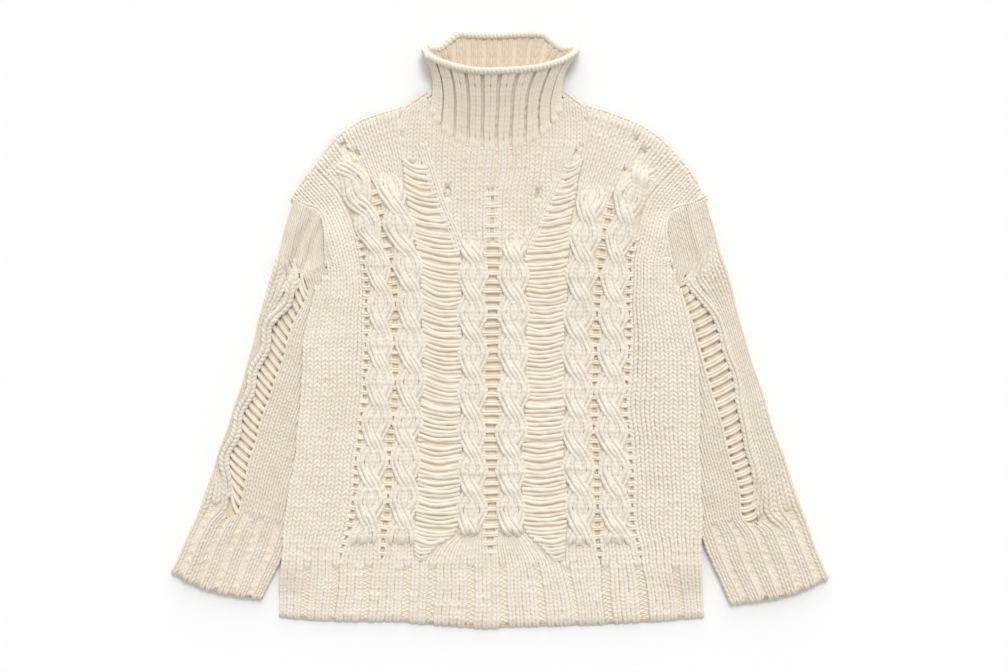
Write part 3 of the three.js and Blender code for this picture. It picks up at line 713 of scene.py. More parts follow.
def plain_band(mesh, cloth, first, last, wales, low, high, purls=(), pitch=ROW):
    """Plain or ribbed knitting between two lines."""
    v = rows_between(low, high, pitch)
    share = (np.arange(wales) + 0.5) / wales
    xy = across(first, last, share, v)
    ribbed = 1 - smooth(HEM_TOP - 6, HEM_TOP + 8, v)
    waves = np.zeros(wales)
    waves[list(purls)] = 1.0
    low_by = np.outer(waves, ribbed) * RIB
    z = front_base(xy) + STITCH_FOOT - edge_drop(xy[..., 0], xy[..., 1]) - top_round(v)[None]
    z = z - 0.4 * crease(xy[..., 0], xy[..., 1])
    grid = raise_to(xy, z - low_by)
    ridge = grid.copy()
    ridge[..., 2] += low_by
    normals = unit(np.cross(np.gradient(ridge, axis=0), np.gradient(ridge, axis=1)))
    width = np.linalg.norm(np.gradient(xy, axis=0), axis=-1)
    is_purl = np.outer(waves > 0, (ribbed[:-1] + ribbed[1:]) / 2 > 0.5)
    seen = ~in_eyelet(xy[..., 0], xy[..., 1], 0.8)
    keep = ~is_purl & seen[:, :-1] & seen[:, 1:]
    knit(mesh, ridge, width, normals, keep=keep, leg=HEM_LEG if len(purls) else LEG)
    for k in np.where(waves > 0)[0]:
        rows = np.where(is_purl[k])[0]
        if len(rows):
            part = slice(rows[0], rows[-1] + 2)
            purl(mesh, grid[k:k + 1, part] + [0, 0, 2.0], width[k:k + 1, part], normals[k:k + 1, part])
    lining(cloth, first, last, low, high)


def lining(cloth, first, last, low, high, raised=0.0):
    """The thin cloth under the stitches between two lines."""
    v = rows_between(low, high)
    xy = across(first, last, np.linspace(0, 1, 17), v)
    z = front_base(xy) - 0.2 * np.maximum(crease(xy[..., 0], xy[..., 1]), 0)
    floor = z - edge_drop(xy[..., 0], xy[..., 1]) * 0.5
    cover = z + SHELL - edge_drop(xy[..., 0], xy[..., 1]) - top_round(v)[None] * 0.8
    cover += raised * smooth(low, low + 20, v) * (1 - smooth(high - 80, high - 60, v))
    shell(cloth, raise_to(xy, np.maximum(cover, floor + 0.3)).swapaxes(0, 1), raise_to(xy, floor).swapaxes(0, 1))


SIDES_TO = 400.0


def inside_body(xy, margin=0.0):
    """Whether points are inside the body's side edges, seams and shoulders."""
    x, y = xy[..., 0], xy[..., 1]
    left = np.interp(y, TRACES["left"][:, 1], TRACES["left"][:, 0])
    right = np.interp(y, TRACES["right"][:, 1], TRACES["right"][:, 0])
    tops = np.array([TRACES[name][-1] for name in LINES])
    top = np.interp(x, tops[:, 0], tops[:, 1])
    return (x > left + margin) & (x < right - margin) & (y < top - margin)


def shoulder_band(mesh, cloth, part):
    """Above the sides' straight part, wales keep their distance from the cable and run into the seam."""
    first, out = ("aOut", 1) if part == "left" else ("fOut", -1)
    v = rows_between(SIDES_TO, YOKE_TOP, ROW * 1.08)
    path = line(first, v)
    along = unit(np.gradient(path, axis=0))
    away = np.stack([-along[:, 1], along[:, 0]], -1) * out
    ends = line("left" if part == "left" else "right", np.array([SIDES_TO]))
    wide = (np.linalg.norm(ends[0] - path[0]) - 1.5) / 8
    offset = 1.5 + (np.arange(9) + 0.5) * wide
    xy = path[None] + away[None] * offset[:, None, None]
    if part == "left":
        xy = xy[::-1]
    z = front_base(xy) + STITCH_FOOT - top_round(v)[None]
    grid = raise_to(xy, z)
    seen = inside_body(xy, -0.6)
    width = np.full(xy.shape[:2], wide)
    knit(mesh, grid, width, keep=seen[:, :-1] & seen[:, 1:])
    names = ("left", "aOut") if part == "left" else ("fOut", "right")
    lining(cloth, *names, SIDES_TO, YOKE_TOP)


ROPE_HALF = 18.0  # a rope is no wider than twice this: spare cloth beside it is plain
CABLES = {
    # name: lines, first crossing, distance between crossings, run where it starts and ends
    "A": ("aOut", "ab", 131, 46.8, 103, 572),
    "B": ("ab", "bIn", 131, 46.8, 103, 527),
    "C": ("cOut", "cdLeft", 119, 47.0, 114, 470),
    "D": ("cdRight", "dOut", 119, 47.0, 114, 470),
    "E": ("eIn", "ef", 122, 46.5, 103, 517),
    "F": ("ef", "fOut", 122, 46.5, 103, 561),
}


def cable(mesh, cloth, name):
    """A rope of two plies, two wales each: the ply that goes up to the left passes over the other."""
    first, last, start, pitch, low, high = CABLES[name]
    v = rows_between(low, high, ROW * 0.96)
    spine = across(first, last, [0.5], v)[0]
    sides = across(first, last, [0.0, 1.0], v)
    full = np.linalg.norm(sides[1] - sides[0], axis=-1) / 2
    half = np.minimum(full, ROPE_HALF)
    way = unit(sides[1] - sides[0])
    turn = np.maximum((spine[:, 1] - start) / pitch, -0.499)  # whole numbers are crossings
    near = turn - np.round(turn)
    flip = np.where(np.round(turn).astype(int) % 2 == 0, 1.0, -1.0)
    lens = 0.96 + 0.14 * np.cos(2 * math.pi * (near - 0.5))
    swing = -np.tanh(near * 3.6) / math.tanh(1.8)
    base = front_base(spine) + STITCH_FOOT
    shown = smooth(low - 6, low + 5, v) * (1 - smooth(high - 24, high, v))
    wale = half / 2
    for ply in (1, -1):
        over = ply * flip > 0  # this ply passes over at the nearest crossing
        centre = np.where(over, swing, -swing)
        bump = np.exp(-(near / 0.17) ** 2)
        height = np.where(over, 1.9 + 1.8 * bump, 1.9 - 0.6 * bump) * shown - 1.8 * (1 - shown)
        for k in (-0.5, 0.5):
            spread = 1 + 0.55 * bump
            offset = (centre + k * spread) * wale * lens
            xy = spine + way * offset[:, None]
            crown = 1.5 * (1 - (offset / np.maximum(half, 1)) ** 2) * shown
            grid = raise_to(xy, base + height + crown - top_round(v))[None]
            lean = (offset / np.maximum(half, 1))[:, None] * 0.8 * (1 - 0.5 * bump)[:, None]
            normal = unit(np.concatenate([way * lean, np.ones((len(v), 1))], 1))[None]
            knit(mesh, grid, (wale * lens * (1.30 + 0.18 * bump))[None], normal, leg=ROPE_LEG)
    spare = full - half
    for out in (-1, 1):
        xy = spine + way * (out * (half * 0.96 + spare / 2))[:, None]
        grid = raise_to(xy, base + 0.3 - top_round(v))[None]
        broad = (spare[:-1] > 2.0) & ~in_eyelet(xy[:-1, 0], xy[:-1, 1], 1.5)
        knit(mesh, grid, (spare * 1.1)[None], np.tile([0.0, 0.0, 1.0], (1, len(v), 1)), keep=broad[None])
    fine = np.linspace(0, 1, 13)
    xy = across(first, last, fine, v)
    profile = (1 - np.abs(2 * fine - 1) ** 3)[:, None] * np.ones(len(v))[None]
    narrow = np.abs(2 * fine - 1)[:, None] / lens[None]
    hump = 2.4 * profile * (narrow < 1.05) * shown[None] + 0.2
    z = front_base(xy)
    cover = z + SHELL + np.minimum(hump, 2.4) - top_round(v)[None] * 0.8
    shell(cloth, raise_to(xy, cover).swapaxes(0, 1), raise_to(xy, z).swapaxes(0, 1))


def ladder(mesh, first, last, low, high, pitch, radius, sag, slope, paired=0.07, tuck=3.5, z=5.4):
    """Loose strands across a gap between two lines, drawn together in pairs."""
    rng = np.random.default_rng(int(low + high + pitch * 10))
    fine = np.arange(low, high, 1.0)
    middle = (line(first, fine) + line(last, fine)) / 2
    along = np.concatenate([[0], np.cumsum(np.linalg.norm(np.diff(middle, axis=0), axis=1))])
    v = np.interp(np.arange(0, along[-1], pitch), along, fine)
    v = v + np.where(np.arange(len(v)) % 2 == 0, 1, -1) * paired * pitch + 0.3 * rng.standard_normal(len(v))
    a, b = line(first, v), line(last, v)
    way = unit(b - a)
    a, b = a - way * tuck, b + way * tuck
    t = np.linspace(0, 1, 11)[None, :, None]
    drop = sag * (1 + 0.25 * rng.standard_normal((len(v), 1)))
    tilt = np.interp(v, [p[0] for p in slope], [p[1] for p in slope])[:, None]
    xy = a[:, None] + (b - a)[:, None] * t
    s = t[..., 0]
    xy[..., 1] += -drop * 4 * s * (1 - s) + tilt * (0.5 - s)
    xy[..., 1] += 0.5 * np.sin(s * 9 + 6.3 * rng.random((len(v), 1)))
    wave = 0.5 * rng.standard_normal((len(v), 1)) + 0.7 * (4 * s * (1 - s)) - 0.6
    height = z + lift(xy[..., 0], xy[..., 1]) + wave
    paths = raise_to(xy, height)
    strand(mesh, paths, radius * (1 + 0.07 * rng.standard_normal((len(v), 1)) + 0.05 * np.sin(s * 14)))


HOLE_PITCH = 10.5


def hole_pairs(mesh, first, last, low, high, radius, reach, z=4.7):
    """Pairs of short bars between the holes of dropped stitches: the holes start at low."""
    holes = low + HOLE_PITCH * np.arange(int((high - low) / HOLE_PITCH) + 1)
    between = np.append(holes, holes[-1] + HOLE_PITCH) - HOLE_PITCH / 2
    rng = np.random.default_rng(int(low * 10 + high))
    for shift in (-0.62, 0.62):
        v = between + shift * radius + 0.2 * rng.standard_normal(len(between))
        a, b = line(first, v), line(last, v)
        ahead = unit(line(first, v + 4) - line(first, v - 4))
        side = np.stack([ahead[:, 1], -ahead[:, 0]], -1)
        a, b = a - side * reach, b + side * reach
        t = np.linspace(0, 1, 8)[None, :, None]
        xy = a[:, None] + (b - a)[:, None] * t
        bow = 1 - (2 * t[..., 0] - 1) ** 2
        xy[..., 1] += shift * 0.8 * (1 - bow)
        height = z + lift(xy[..., 0], xy[..., 1]) + 0.5 * bow + 0.3 * rng.standard_normal((len(v), 1))
        strand(mesh, raise_to(xy, height), radius)


NECK_X, NECK_Y, NECK_HALF, NECK_FRONT, NECK_BACK = 1.0, 637.0, 78.0, 574.0, 623.0


def top_edge(x, depth=NECK_FRONT):
    """The neckline, or the shoulder beside it."""
    reach = NECK_HALF + 1.9
    inner = NECK_Y - (NECK_Y - depth + GAP) * np.sqrt(clamp(1 - ((x - NECK_X) / reach) ** 2))
    left = np.interp(x, [-108, -79], [627, 636])
    right = np.interp(x, [81, 108], [637, 629])
    return np.where(np.abs(x - NECK_X) < reach, inner, np.where(x < 0, left, right))


def yoke_side(name_in, name_out, y):
    """The centre's boundary: the ladder's inner line, then its outer one above the ladder's top."""
    inner, outer = TRACES[name_in], TRACES[name_out]
    a = np.interp(y, inner[:, 1], inner[:, 0])
    b = np.interp(y, outer[:, 1], outer[:, 0])
    return mix(a, b, smooth(538, 556, y))


LEAN = 0.30  # how far the wales lean in towards the collar


def yoke_centre(mesh, cloth):
    """Plain knitting between the two diagonals and the neckline, drawn together at the collar."""
    wale = 8.8
    start = CENTRE_CABLES_TO - 2
    y = rows_between(start, 640)
    draw = 1 - LEAN * smooth(490, 660, y)
    neck = collar_point(collar_angle(np.add.outer(np.arange(COLLAR_RIBS), RIB_CORDS).ravel()), 0.0, True)
    places = np.concatenate([np.arange(8.6, 160, wale)[::-1], [1.4, -6.6], np.arange(-14.4, -160, -wale)])
    middle = int(np.where(places == 1.4)[0][0])
    for number, x0 in enumerate(places):
        cord = int(np.clip(number - middle + COLLAR_RIBS - 1, 0, 2 * COLLAR_RIBS - 1))
        own = places[cord + middle - COLLAR_RIBS + 1]
        x_neck, y_neck = neck[cord, :2]
        x = x0 * draw + (x_neck - own * np.interp(y_neck, y, draw)) * smooth(y_neck - 75, y_neck, y)
        edge = yoke_side("cOut", "bIn", y) if x0 < 0 else yoke_side("dOut", "eIn", y)
        seen = (np.abs(x) < np.abs(edge) - 1) & (y < (y_neck + 8 if own == x0 else top_edge(x) + 1.5))
        if abs(x0 + 2.6) < 6:
            seen &= y > 522
        seen &= ~in_eyelet(x, y, 1.5)
        grid = np.stack([x, y, np.full(len(y), LAYER + STITCH_FOOT)], -1)[None]
        normal = np.tile([0.0, 0.0, 1.0], (1, len(y), 1))
        knit(mesh, grid, (wale * draw * 1.04)[None], normal, keep=(seen[:-1] & seen[1:])[None])
    # The ridges that run up beside the ladders from the middle ropes
    v = rows_between(CENTRE_CABLES_TO - 8, 556)
    for name, out in (("cOut", 1), ("dOut", -1)):
        path = line(name, v)
        away = unit(np.gradient(path, axis=0))[:, ::-1] * [out, -out]
        xy = path[None] + away[None] * np.array([0.0, 6.6])[:, None, None]
        if out < 0:
            xy = xy[::-1]
        grid = raise_to(xy, np.full(xy.shape[:2], LAYER + STITCH_FOOT + 1.4))
        knit(mesh, grid, np.full(xy.shape[:2], 6.8), np.tile([0.0, 0.0, 1.0], (*xy.shape[:2], 1)))
    share = np.linspace(0, 1, 41)
    v = np.linspace(start, YOKE_TOP, 30)
    a, b = line("cOut", v), line("dOut", v)
    xy = a[None] + (b - a)[None] * share[:, None, None]
    t = ((v - start) / (YOKE_TOP - start))[None]
    xy[..., 1] += t ** 1.5 * (top_edge(xy[:, -1:, 0]) - 0.8 - xy[:, -1:, 1])
    shell(cloth, raise_to(xy, np.full(xy.shape[:2], LAYER + SHELL)).swapaxes(0, 1),
          raise_to(xy, np.full(xy.shape[:2], LAYER)).swapaxes(0, 1))


TOPS = np.array([TRACES[name][-1] for name in LINES])
EDGE_STEPS = np.linspace(0.4, 4.9, 38)
SHOULDER_LEFT = follow([[i, *TOPS[i]] for i in range(5)] + [[5, -78, 646]], EDGE_STEPS) - [-1.5, 3.0]
SHOULDER_RIGHT = follow([[0, 80, 647]] + [[i + 1, *TOPS[7 + i]] for i in range(5)],
                        5 - EDGE_STEPS[::-1]) - [1.5, 3.0]


def front():
    cloth = Mesh()
    knits = {"left": Mesh(), "middle": Mesh(), "right": Mesh()}
    hem = [
        ("left", "left", "aOut", 8, (3, 7)), ("left", "aOut", "ab", 5, (3,)), ("left", "ab", "bIn", 5, (3,)),
        ("middle", "cOut", "cdLeft", 9, (1, 6)), ("middle", "cdRight", "dOut", 10, (1, 6)),
        ("right", "eIn", "ef", 5, (0,)), ("right", "ef", "fOut", 5, (0, 4)), ("right", "fOut", "right", 8, (4,)),
    ]
    for part, first, last, wales, purls in hem:
        top = HEM_END + 12 if part == "middle" else HEM_END
        plain_band(knits[part], cloth, first, last, wales, 2.5, top, purls)
    for first, last, high in (("bIn", "cOut", 84), ("cdLeft", "cdRight", 92), ("dOut", "eIn", 84)):
        seam = np.arange(1.5, high, ROW)
        xy = (line(first, seam) + line(last, seam)) / 2
        level = front_base(xy) + STITCH_FOOT - 0.5 - top_round(seam)
        knit(knits["middle"], raise_to(xy, level)[None], np.full((1, len(seam)), 7.5),
             np.tile([0.0, 0.0, 1.0], (1, len(seam), 1)))
    for part, first, last in (("left", "left", "aOut"), ("right", "fOut", "right")):
        plain_band(knits[part], cloth, first, last, 8, HEM_END, SIDES_TO)
        shoulder_band(knits[part], cloth, part)
    for name, part in zip("ABCDEF", ("left", "left", "middle", "middle", "right", "right")):
        cable(knits[part], cloth, name)
    for part, first, last, wales, low in (("left", "aOut", "ab", 6, 562), ("left", "ab", "bIn", 7, 512),
                                          ("right", "eIn", "ef", 7, 502), ("right", "ef", "fOut", 6, 546)):
        plain_band(knits[part], cloth, first, last, wales, low - 4, YOKE_TOP)
    for first, last in (("bIn", "cOut"), ("dOut", "eIn")):
        lining(cloth, first, last, 84, YOKE_TOP, raised=1.3)
    yoke_centre(knits["middle"], cloth)
    for edge, part in ((SHOULDER_LEFT, "left"), (SHOULDER_RIGHT, "right")):
        knit(knits[part], raise_to(edge, np.full(len(edge), LAYER - 0.4))[None], np.full((1, len(edge)), 8.0),
             np.tile([0.0, 0.0, 1.0], (1, len(edge), 1)))
    for side, out in (("left", -1), ("right", 1)):
        seam = rows_between(ARM_PIT - 30, YOKE_TOP)
        xy = line(side, seam) + [out * 1.0, 0]
        level = front_base(xy) + STITCH_FOOT + 0.4 - 2.4 * (1 - smooth(ARM_PIT - 28, ARM_PIT + 10, seam))
        knit(knits[side], raise_to(xy, level)[None], np.full((1, len(seam)), 7.5),
             np.tile([0.0, 0.0, 1.0], (1, len(seam), 1)))
    for name, out in (("cdLeft", 1), ("cdRight", -1)):
        edge = rows_between(464, 514)
        xy = line(name, edge) + [out * 1.6, 0]
        knit(knits["middle"], raise_to(xy, front_base(xy) + STITCH_FOOT + 0.3)[None],
             np.full((1, len(edge)), 6.6), np.tile([0.0, 0.0, 1.0], (1, len(edge), 1)))
    strands = Mesh()
    ladder(strands, "bIn", "cOut", 84, 542, 5.2, 2.8, 4.5, [(220, 1), (290, 9), (420, 8), (520, 4)])
    ladder(strands, "dOut", "eIn", 84, 542, 5.2, 2.8, 3.5, [(120, -2), (300, -4), (520, -6)])
    hole_pairs(strands, "cdLeft", "cdRight", 95.5, 512, 1.8, 4.5)
    hole_pairs(strands, "ab", "ab", 93.5, 508, 1.6, 6.5)
    hole_pairs(strands, "ef", "ef", 93.5, 494, 1.6, 6.5)
    hole_pairs(strands, "aOut", "aOut", 98, 466, 1.9, 5.0)
    hole_pairs(strands, "fOut", "fOut", 94, 466, 1.9, 5.0)
    made = cloth.build("front_cloth", lining_painted_shade)
    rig.replaces(made, "front")
    pieces = [knits[part].build("front_knit_" + part, yarn) for part in knits]
    pieces.append(strands.build("front_strands", loose))
    return made, pieces


def back():
    cloth = Mesh()
    v = np.linspace(0, YOKE_TOP, 150)
    share = np.linspace(0, 1, 81)
    xy = across("left", "right", share, v)
    a, b = line("left", v), line("right", v)
    xy = a[None] + (b - a)[None] * share[:, None, None]
    # The top edge runs from shoulder point to shoulder point over the shoulders and the back neckline.
    outline = np.array([TRACES[n][-1] for n in LINES])
    x_top = mix(a[-1, 0], b[-1, 0], share)
    y_top = np.interp(x_top, outline[:, 0], outline[:, 1])
    reach = NECK_HALF + 1.9
    neck = NECK_Y - (NECK_Y - NECK_BACK + GAP) * np.sqrt(clamp(1 - ((x_top - NECK_X) / reach) ** 2))
    y_top = np.where(np.abs(x_top - NECK_X) < reach, np.minimum(y_top, neck), y_top) - 0.5
    t = smooth(ARM_PIT - 60, YOKE_TOP, v)[None] ** 1.0
    xy[..., 1] += t * (y_top - xy[:, -1, 1])[:, None]
    hem = np.interp(xy[:, 0, 0], outline_hem[:, 0], outline_hem[:, 1])
    xy[..., 1] += (1 - clamp(v / 60))[None] * (hem - xy[:, 0, 1])[:, None]
    z = lift(xy[..., 0], xy[..., 1])
    shell(cloth, raise_to(xy, z + WALL - 0.2).swapaxes(0, 1), raise_to(xy, z + 0.0).swapaxes(0, 1))
    made = cloth.build("back_cloth", inside)
    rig.replaces(made, "back")
    return made


outline_hem = np.array([TRACES[n][0] for n in LINES])


# Sleeves
def sleeve_xy(side, share, run):
    """shares by runs by (x, y)."""
    share = np.asarray(share, float)
    if share.ndim == 1:
        share = share[:, None] * np.ones(len(run))[None]
    ends = follow(SLEEVE[side], run)
    outer, inner = ends[:, 0:2], ends[:, 2:4]
    xy = outer[None] + (inner - outer)[None] * share[..., None]
    xy[..., 1] -= CUFF_SAG * np.sin(math.pi * clamp(share)) * smooth(CUFF_FROM, SLEEVE_LENGTH, run)[None]
    return xy


def seam_distance(side, xy):
    """How far a point is outside the body's edge or armhole seam, negative within."""
    edge = TRACES[side]
    out = -1 if side == "left" else 1
    y = np.minimum(xy[..., 1], edge[-1, 1])
    at = np.interp(y, edge[:, 1], edge[:, 0])
    return (xy[..., 0] - at) * out


def sleeve_top(side, xy, share):
    """Outer height of a sleeve's plain wall, flat where it is under the body."""
    outside = smooth(-7, 5, seam_distance(side, xy))
    crown = 2.6 * np.sqrt(clamp(4 * share * (1 - share)))
    low, high = (n / SLEEVE_WALES for n in LADDER_WALES[side])
    beside = 1.6 * np.exp(-((share - low + 0.03) / 0.05) ** 2)
    height = crown * 0.8 + 0.8 + beside - crease(xy[..., 0], xy[..., 1])
    return LAYER + SHELL + np.maximum(height, 0) * outside


SLEEVE_WALES = 16
LADDER_WALES = {"left": (3, 6), "right": (5, 8)}  # wales dropped between these numbers
LADDER_PITCH = {"left": 9.6, "right": 11.0}
LADDER_SLANT = {"left": 15.0, "right": 2.0}  # how much nearer the cuff a strand's inner end is
LADDER_CHAIN = {"left": (0.8, 12.0, 2.8), "right": (0.1, 9.5, 1.2)}  # waves, width, lift
LADDER_YARN = {"left": (0.9, 1.9), "right": (1.6, 2.2)}  # half the distance of a pair, radius


def ladder_open(run):
    return smooth(60, 84, run) * (1 - smooth(352, 384, run))


def sleeve_share(side, wales, run):
    """Where numbered wales lie across the sleeve: they part at the ladder."""
    low, high = LADDER_WALES[side]
    table = follow(SLEEVE[side], run)
    open_ = ladder_open(run)
    a = mix(low / SLEEVE_WALES, table[:, 4], open_)[None]
    b = mix(high / SLEEVE_WALES, table[:, 5], open_)[None]
    n = np.asarray(wales, float)[:, None]
    inner = b + (n - high) / (SLEEVE_WALES - high) * (1 - b)
    return np.where(n < low, n / low * a, np.where(n < high, a + (n - low) / (high - low) * (b - a), inner))


def sleeve_knit(mesh, side):
    run = rows_between(SLEEVE_LENGTH - 2, 4)
    wales = np.arange(SLEEVE_WALES) + 0.5
    share = sleeve_share(side, wales, run)
    xy = sleeve_xy(side, share, run)
    width = np.linalg.norm(np.gradient(xy, axis=0), axis=-1)
    grid = raise_to(xy, sleeve_top(side, xy, share) - SHELL + STITCH_FOOT)
    normals = unit(np.cross(np.gradient(grid, axis=0), np.gradient(grid, axis=1)))
    normals = normals * np.sign(normals[..., 2:3] + 1e-9)
    outside = seam_distance(side, xy)
    seen = (outside > -7) & ((outside > -1.5) | (xy[..., 1] < ARM_PIT - 30))
    low, high = LADDER_WALES[side]
    dropped = ((wales > low) & (wales < high))[:, None] & (ladder_open(run) > 0.4)[None]
    cuff = smooth(CUFF_FROM - 14, CUFF_FROM + 6, run)
    ribs = np.isin(np.arange(SLEEVE_WALES), (1, 4, 7, 10, 13))
    is_purl = ribs[:, None] & (cuff > 0.5)[None]
    keep = seen & ~dropped
    keep = keep[:, :-1] & keep[:, 1:]
    knit(mesh, grid, width, normals, keep=keep & ~is_purl[:, :-1])
    for k in np.where(ribs)[0]:
        rows = np.where(is_purl[k, :-1] & keep[k])[0]
        if len(rows):
            part = slice(rows[0], rows[-1] + 2)
            purl(mesh, grid[k:k + 1, part] - [0, 0, 0.6], width[k:k + 1, part], normals[k:k + 1, part])


def ladder_chain(mesh, side):
    """The raised chain of stitches down the outer side of the ladder."""
    low, high = LADDER_WALES[side]
    waves, width, lift = LADDER_CHAIN[side]
    run = rows_between(CUFF_FROM - 18, 70)
    edge = sleeve_share(side, [low - waves, low + 0.1], run)
    share = mix(edge[:1], edge[1:], 0.5 + 0.5 * np.cos(2 * math.pi * run / 56))
    xy = sleeve_xy(side, share, run)
    up = smooth(66, 96, run) * (1 - smooth(CUFF_FROM - 56, CUFF_FROM - 20, run))
    grid = raise_to(xy, sleeve_top(side, xy, share) + mix(-1.5, lift, up))
    knit(mesh, grid, np.full((1, len(run)), width), np.tile([0.0, 0.0, 1.0], (1, len(run), 1)))


def sleeve_ladder(mesh, side):
    low, high = LADDER_WALES[side]
    at = np.arange(96 - 2 * LADDER_PITCH[side], CUFF_FROM - 6, LADDER_PITCH[side])
    apart, radius = LADDER_YARN[side]
    for shift in (-apart, apart):
        run = at + shift
        ends = sleeve_share(side, [low, high], run)
        t = np.linspace(-0.12, 1.12, 11)[:, None]
        share = ends[0][None] + (ends[1] - ends[0])[None] * t
        ways = [sleeve_xy(side, share, run + shift_) for shift_ in (-2, 2)]
        xy = (ways[0] + ways[1]) / 2 + (ways[1] - ways[0]) / 4 * LADDER_SLANT[side] * (t - 0.5)[..., None]
        bow = 4 * t * (1 - t)
        xy[..., 1] -= 2.0 * bow
        outside = seam_distance(side, xy)
        height = mix(LAYER + 1.1, sleeve_top(side, xy, share) - 0.5 + 0.5 * bow, smooth(0, 7, outside))
        seen = outside.max(0) > 2
        strand(mesh, raise_to(xy, height).swapaxes(0, 1)[seen], radius)


def sleeve(side):
    cloth, mesh, strands = Mesh(), Mesh(), Mesh()
    sleeve_knit(mesh, side)
    ladder_chain(mesh, side)
    sleeve_ladder(strands, side)
    # Thin shells: two beside the ladder in front, one whole layer behind.
    mirror = side == "right"
    fine = rows_between(0, SLEEVE_LENGTH, 8)
    low, high = LADDER_WALES[side]
    edges = sleeve_share(side, [low, high], fine)
    middle = edges.mean(0)
    edges = middle + (edges - middle) * smooth(0.3, 0.5, ladder_open(fine))

    def wall(share, top, bottom):
        xy = keep_outside(side, sleeve_xy(side, share, fine))
        sheets = [raise_to(xy, height).swapaxes(0, 1)[::-1] for height in (top(xy), bottom + 0 * share)]
        if mirror:
            sheets = [g[:, ::-1] for g in sheets]
        shell(cloth, *sheets)

    for start, end in ((0 * middle, edges[0]), (edges[1], 1 + 0 * middle)):
        share = start[None] + (end - start)[None] * np.linspace(0, 1, 15)[:, None]
        near = 1.5 * (1 - np.sqrt(clamp(share / 0.04)))
        wall(share, lambda xy: np.maximum(sleeve_top(side, xy, share) - near, LAYER + 0.3), LAYER)
    share = np.linspace(0, 1, 51)[:, None] * np.ones(len(fine))[None]
    bulge = smooth(0, 0.05, share - edges[0]) * smooth(0, 0.05, edges[1] - share) * ladder_open(fine)
    wall(share, lambda xy: WALL - 0.2 + 2.7 * bulge, 0.0)
    made = cloth.build(f"sleeve_{side}_cloth", lining_painted_shade)
    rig.replaces(made, f"sleeve_{side}_front", f"sleeve_{side}_back")
    return made, [mesh.build(f"sleeve_{side}_knit", sleeve_painted_shade), strands.build(f"sleeve_{side}_strands", loose)]


def keep_outside(side, xy):
    """Near the arm pit and above it the sleeve's cloth stops at the seam."""
    out = -1 if side == "left" else 1
    seam = TRACES[side][int(ARM_PIT) - 60:]
    along = unit(np.gradient(seam, axis=0))
    away = np.stack([along[:, 1], -along[:, 0]], -1) * out
    near = xy[..., 1] > ARM_PIT - 50
    depth = mix(0.6, -16, smooth(ARM_PIT - 4, ARM_PIT - 44, xy[..., 1]))
    moved = xy.copy()
    points = xy[near]
    nearest = np.argmin(((points[:, None] - seam[None]) ** 2).sum(-1), axis=1)
    far = ((points - seam[nearest]) * away[nearest]).sum(-1)
    target = np.maximum(far, depth[near])
    moved[near] = points + away[nearest] * (target - far)[:, None]
    return moved


# Collar
COLLAR = [
    # run, middle x, half width, side y, front y, back y, front z, back z, side z
    [0, 1, 78, 637, 574, 623, LAYER + WALL, WALL, LAYER],
    [18, 2, 75.5, 646, 596, 637, 10, WALL, 3.6],
    [38, 3, 75, 658, 618, 655, 17, WALL, 5],
    [60, 4, 79, 674, 641, 680, 27, WALL, 8],
    [86, 6, 88, 692, 662, 709, 38, WALL + 2, 13],
]
COLLAR_RUN = 86.0
RIB_CORDS = (0.28, 0.68)  # where the two cords of a rib are, in ribs
COLLAR_RIBS = 10
RIB_EVEN = 0.75  # 1 spaces the ribs evenly across the flat collar, 0 round it
BACK_FROM, BACK_TO = 0.15, 0.46  # the back's rim rises between these shares of the way in from its tips
BEAD = 5.6


def collar_point(angle, run, outside):
    """Points of the collar's wall: angle 0 to pi over the front, pi to 2 pi over the back."""
    angle, run = np.broadcast_arrays(np.asarray(angle, float), np.asarray(run, float))
    table = follow(COLLAR, run.ravel()).reshape(*run.shape, 8)
    middle, half, side_y, front_y, back_y, front_z, back_z, side_z = np.moveaxis(table, -1, 0)
    sine = np.sin(angle)
    front_side = sine > 0
    share = np.abs(sine)
    rise = mix(share, smooth(BACK_FROM, BACK_TO, 1 - np.abs(np.cos(angle))), smooth(45, COLLAR_RUN, run))
    reach = half + (WALL / 2 if outside else -WALL / 2)
    y = np.where(front_side, mix(side_y, front_y, share), mix(side_y, back_y, rise))
    x = middle + reach * np.cos(angle)
    if outside:
        z_front = mix(side_z, front_z, share ** 0.7)
        z_back = mix(side_z, 0.0, share ** 0.25)
    else:
        z_front = mix(side_z, front_z - WALL, share ** 0.7)
        z_back = mix(side_z, back_z, share ** 0.5)
    return np.stack([x, y, np.where(front_side, z_front, z_back)], -1)


def collar_angle(rib):
    """The angle at a rib's number: nearly even across the flattened collar."""
    half, share = np.divmod(np.asarray(rib, float) / COLLAR_RIBS, 1.0)
    return math.pi * half + mix(math.pi * share, np.arccos(1 - 2 * share), RIB_EVEN)


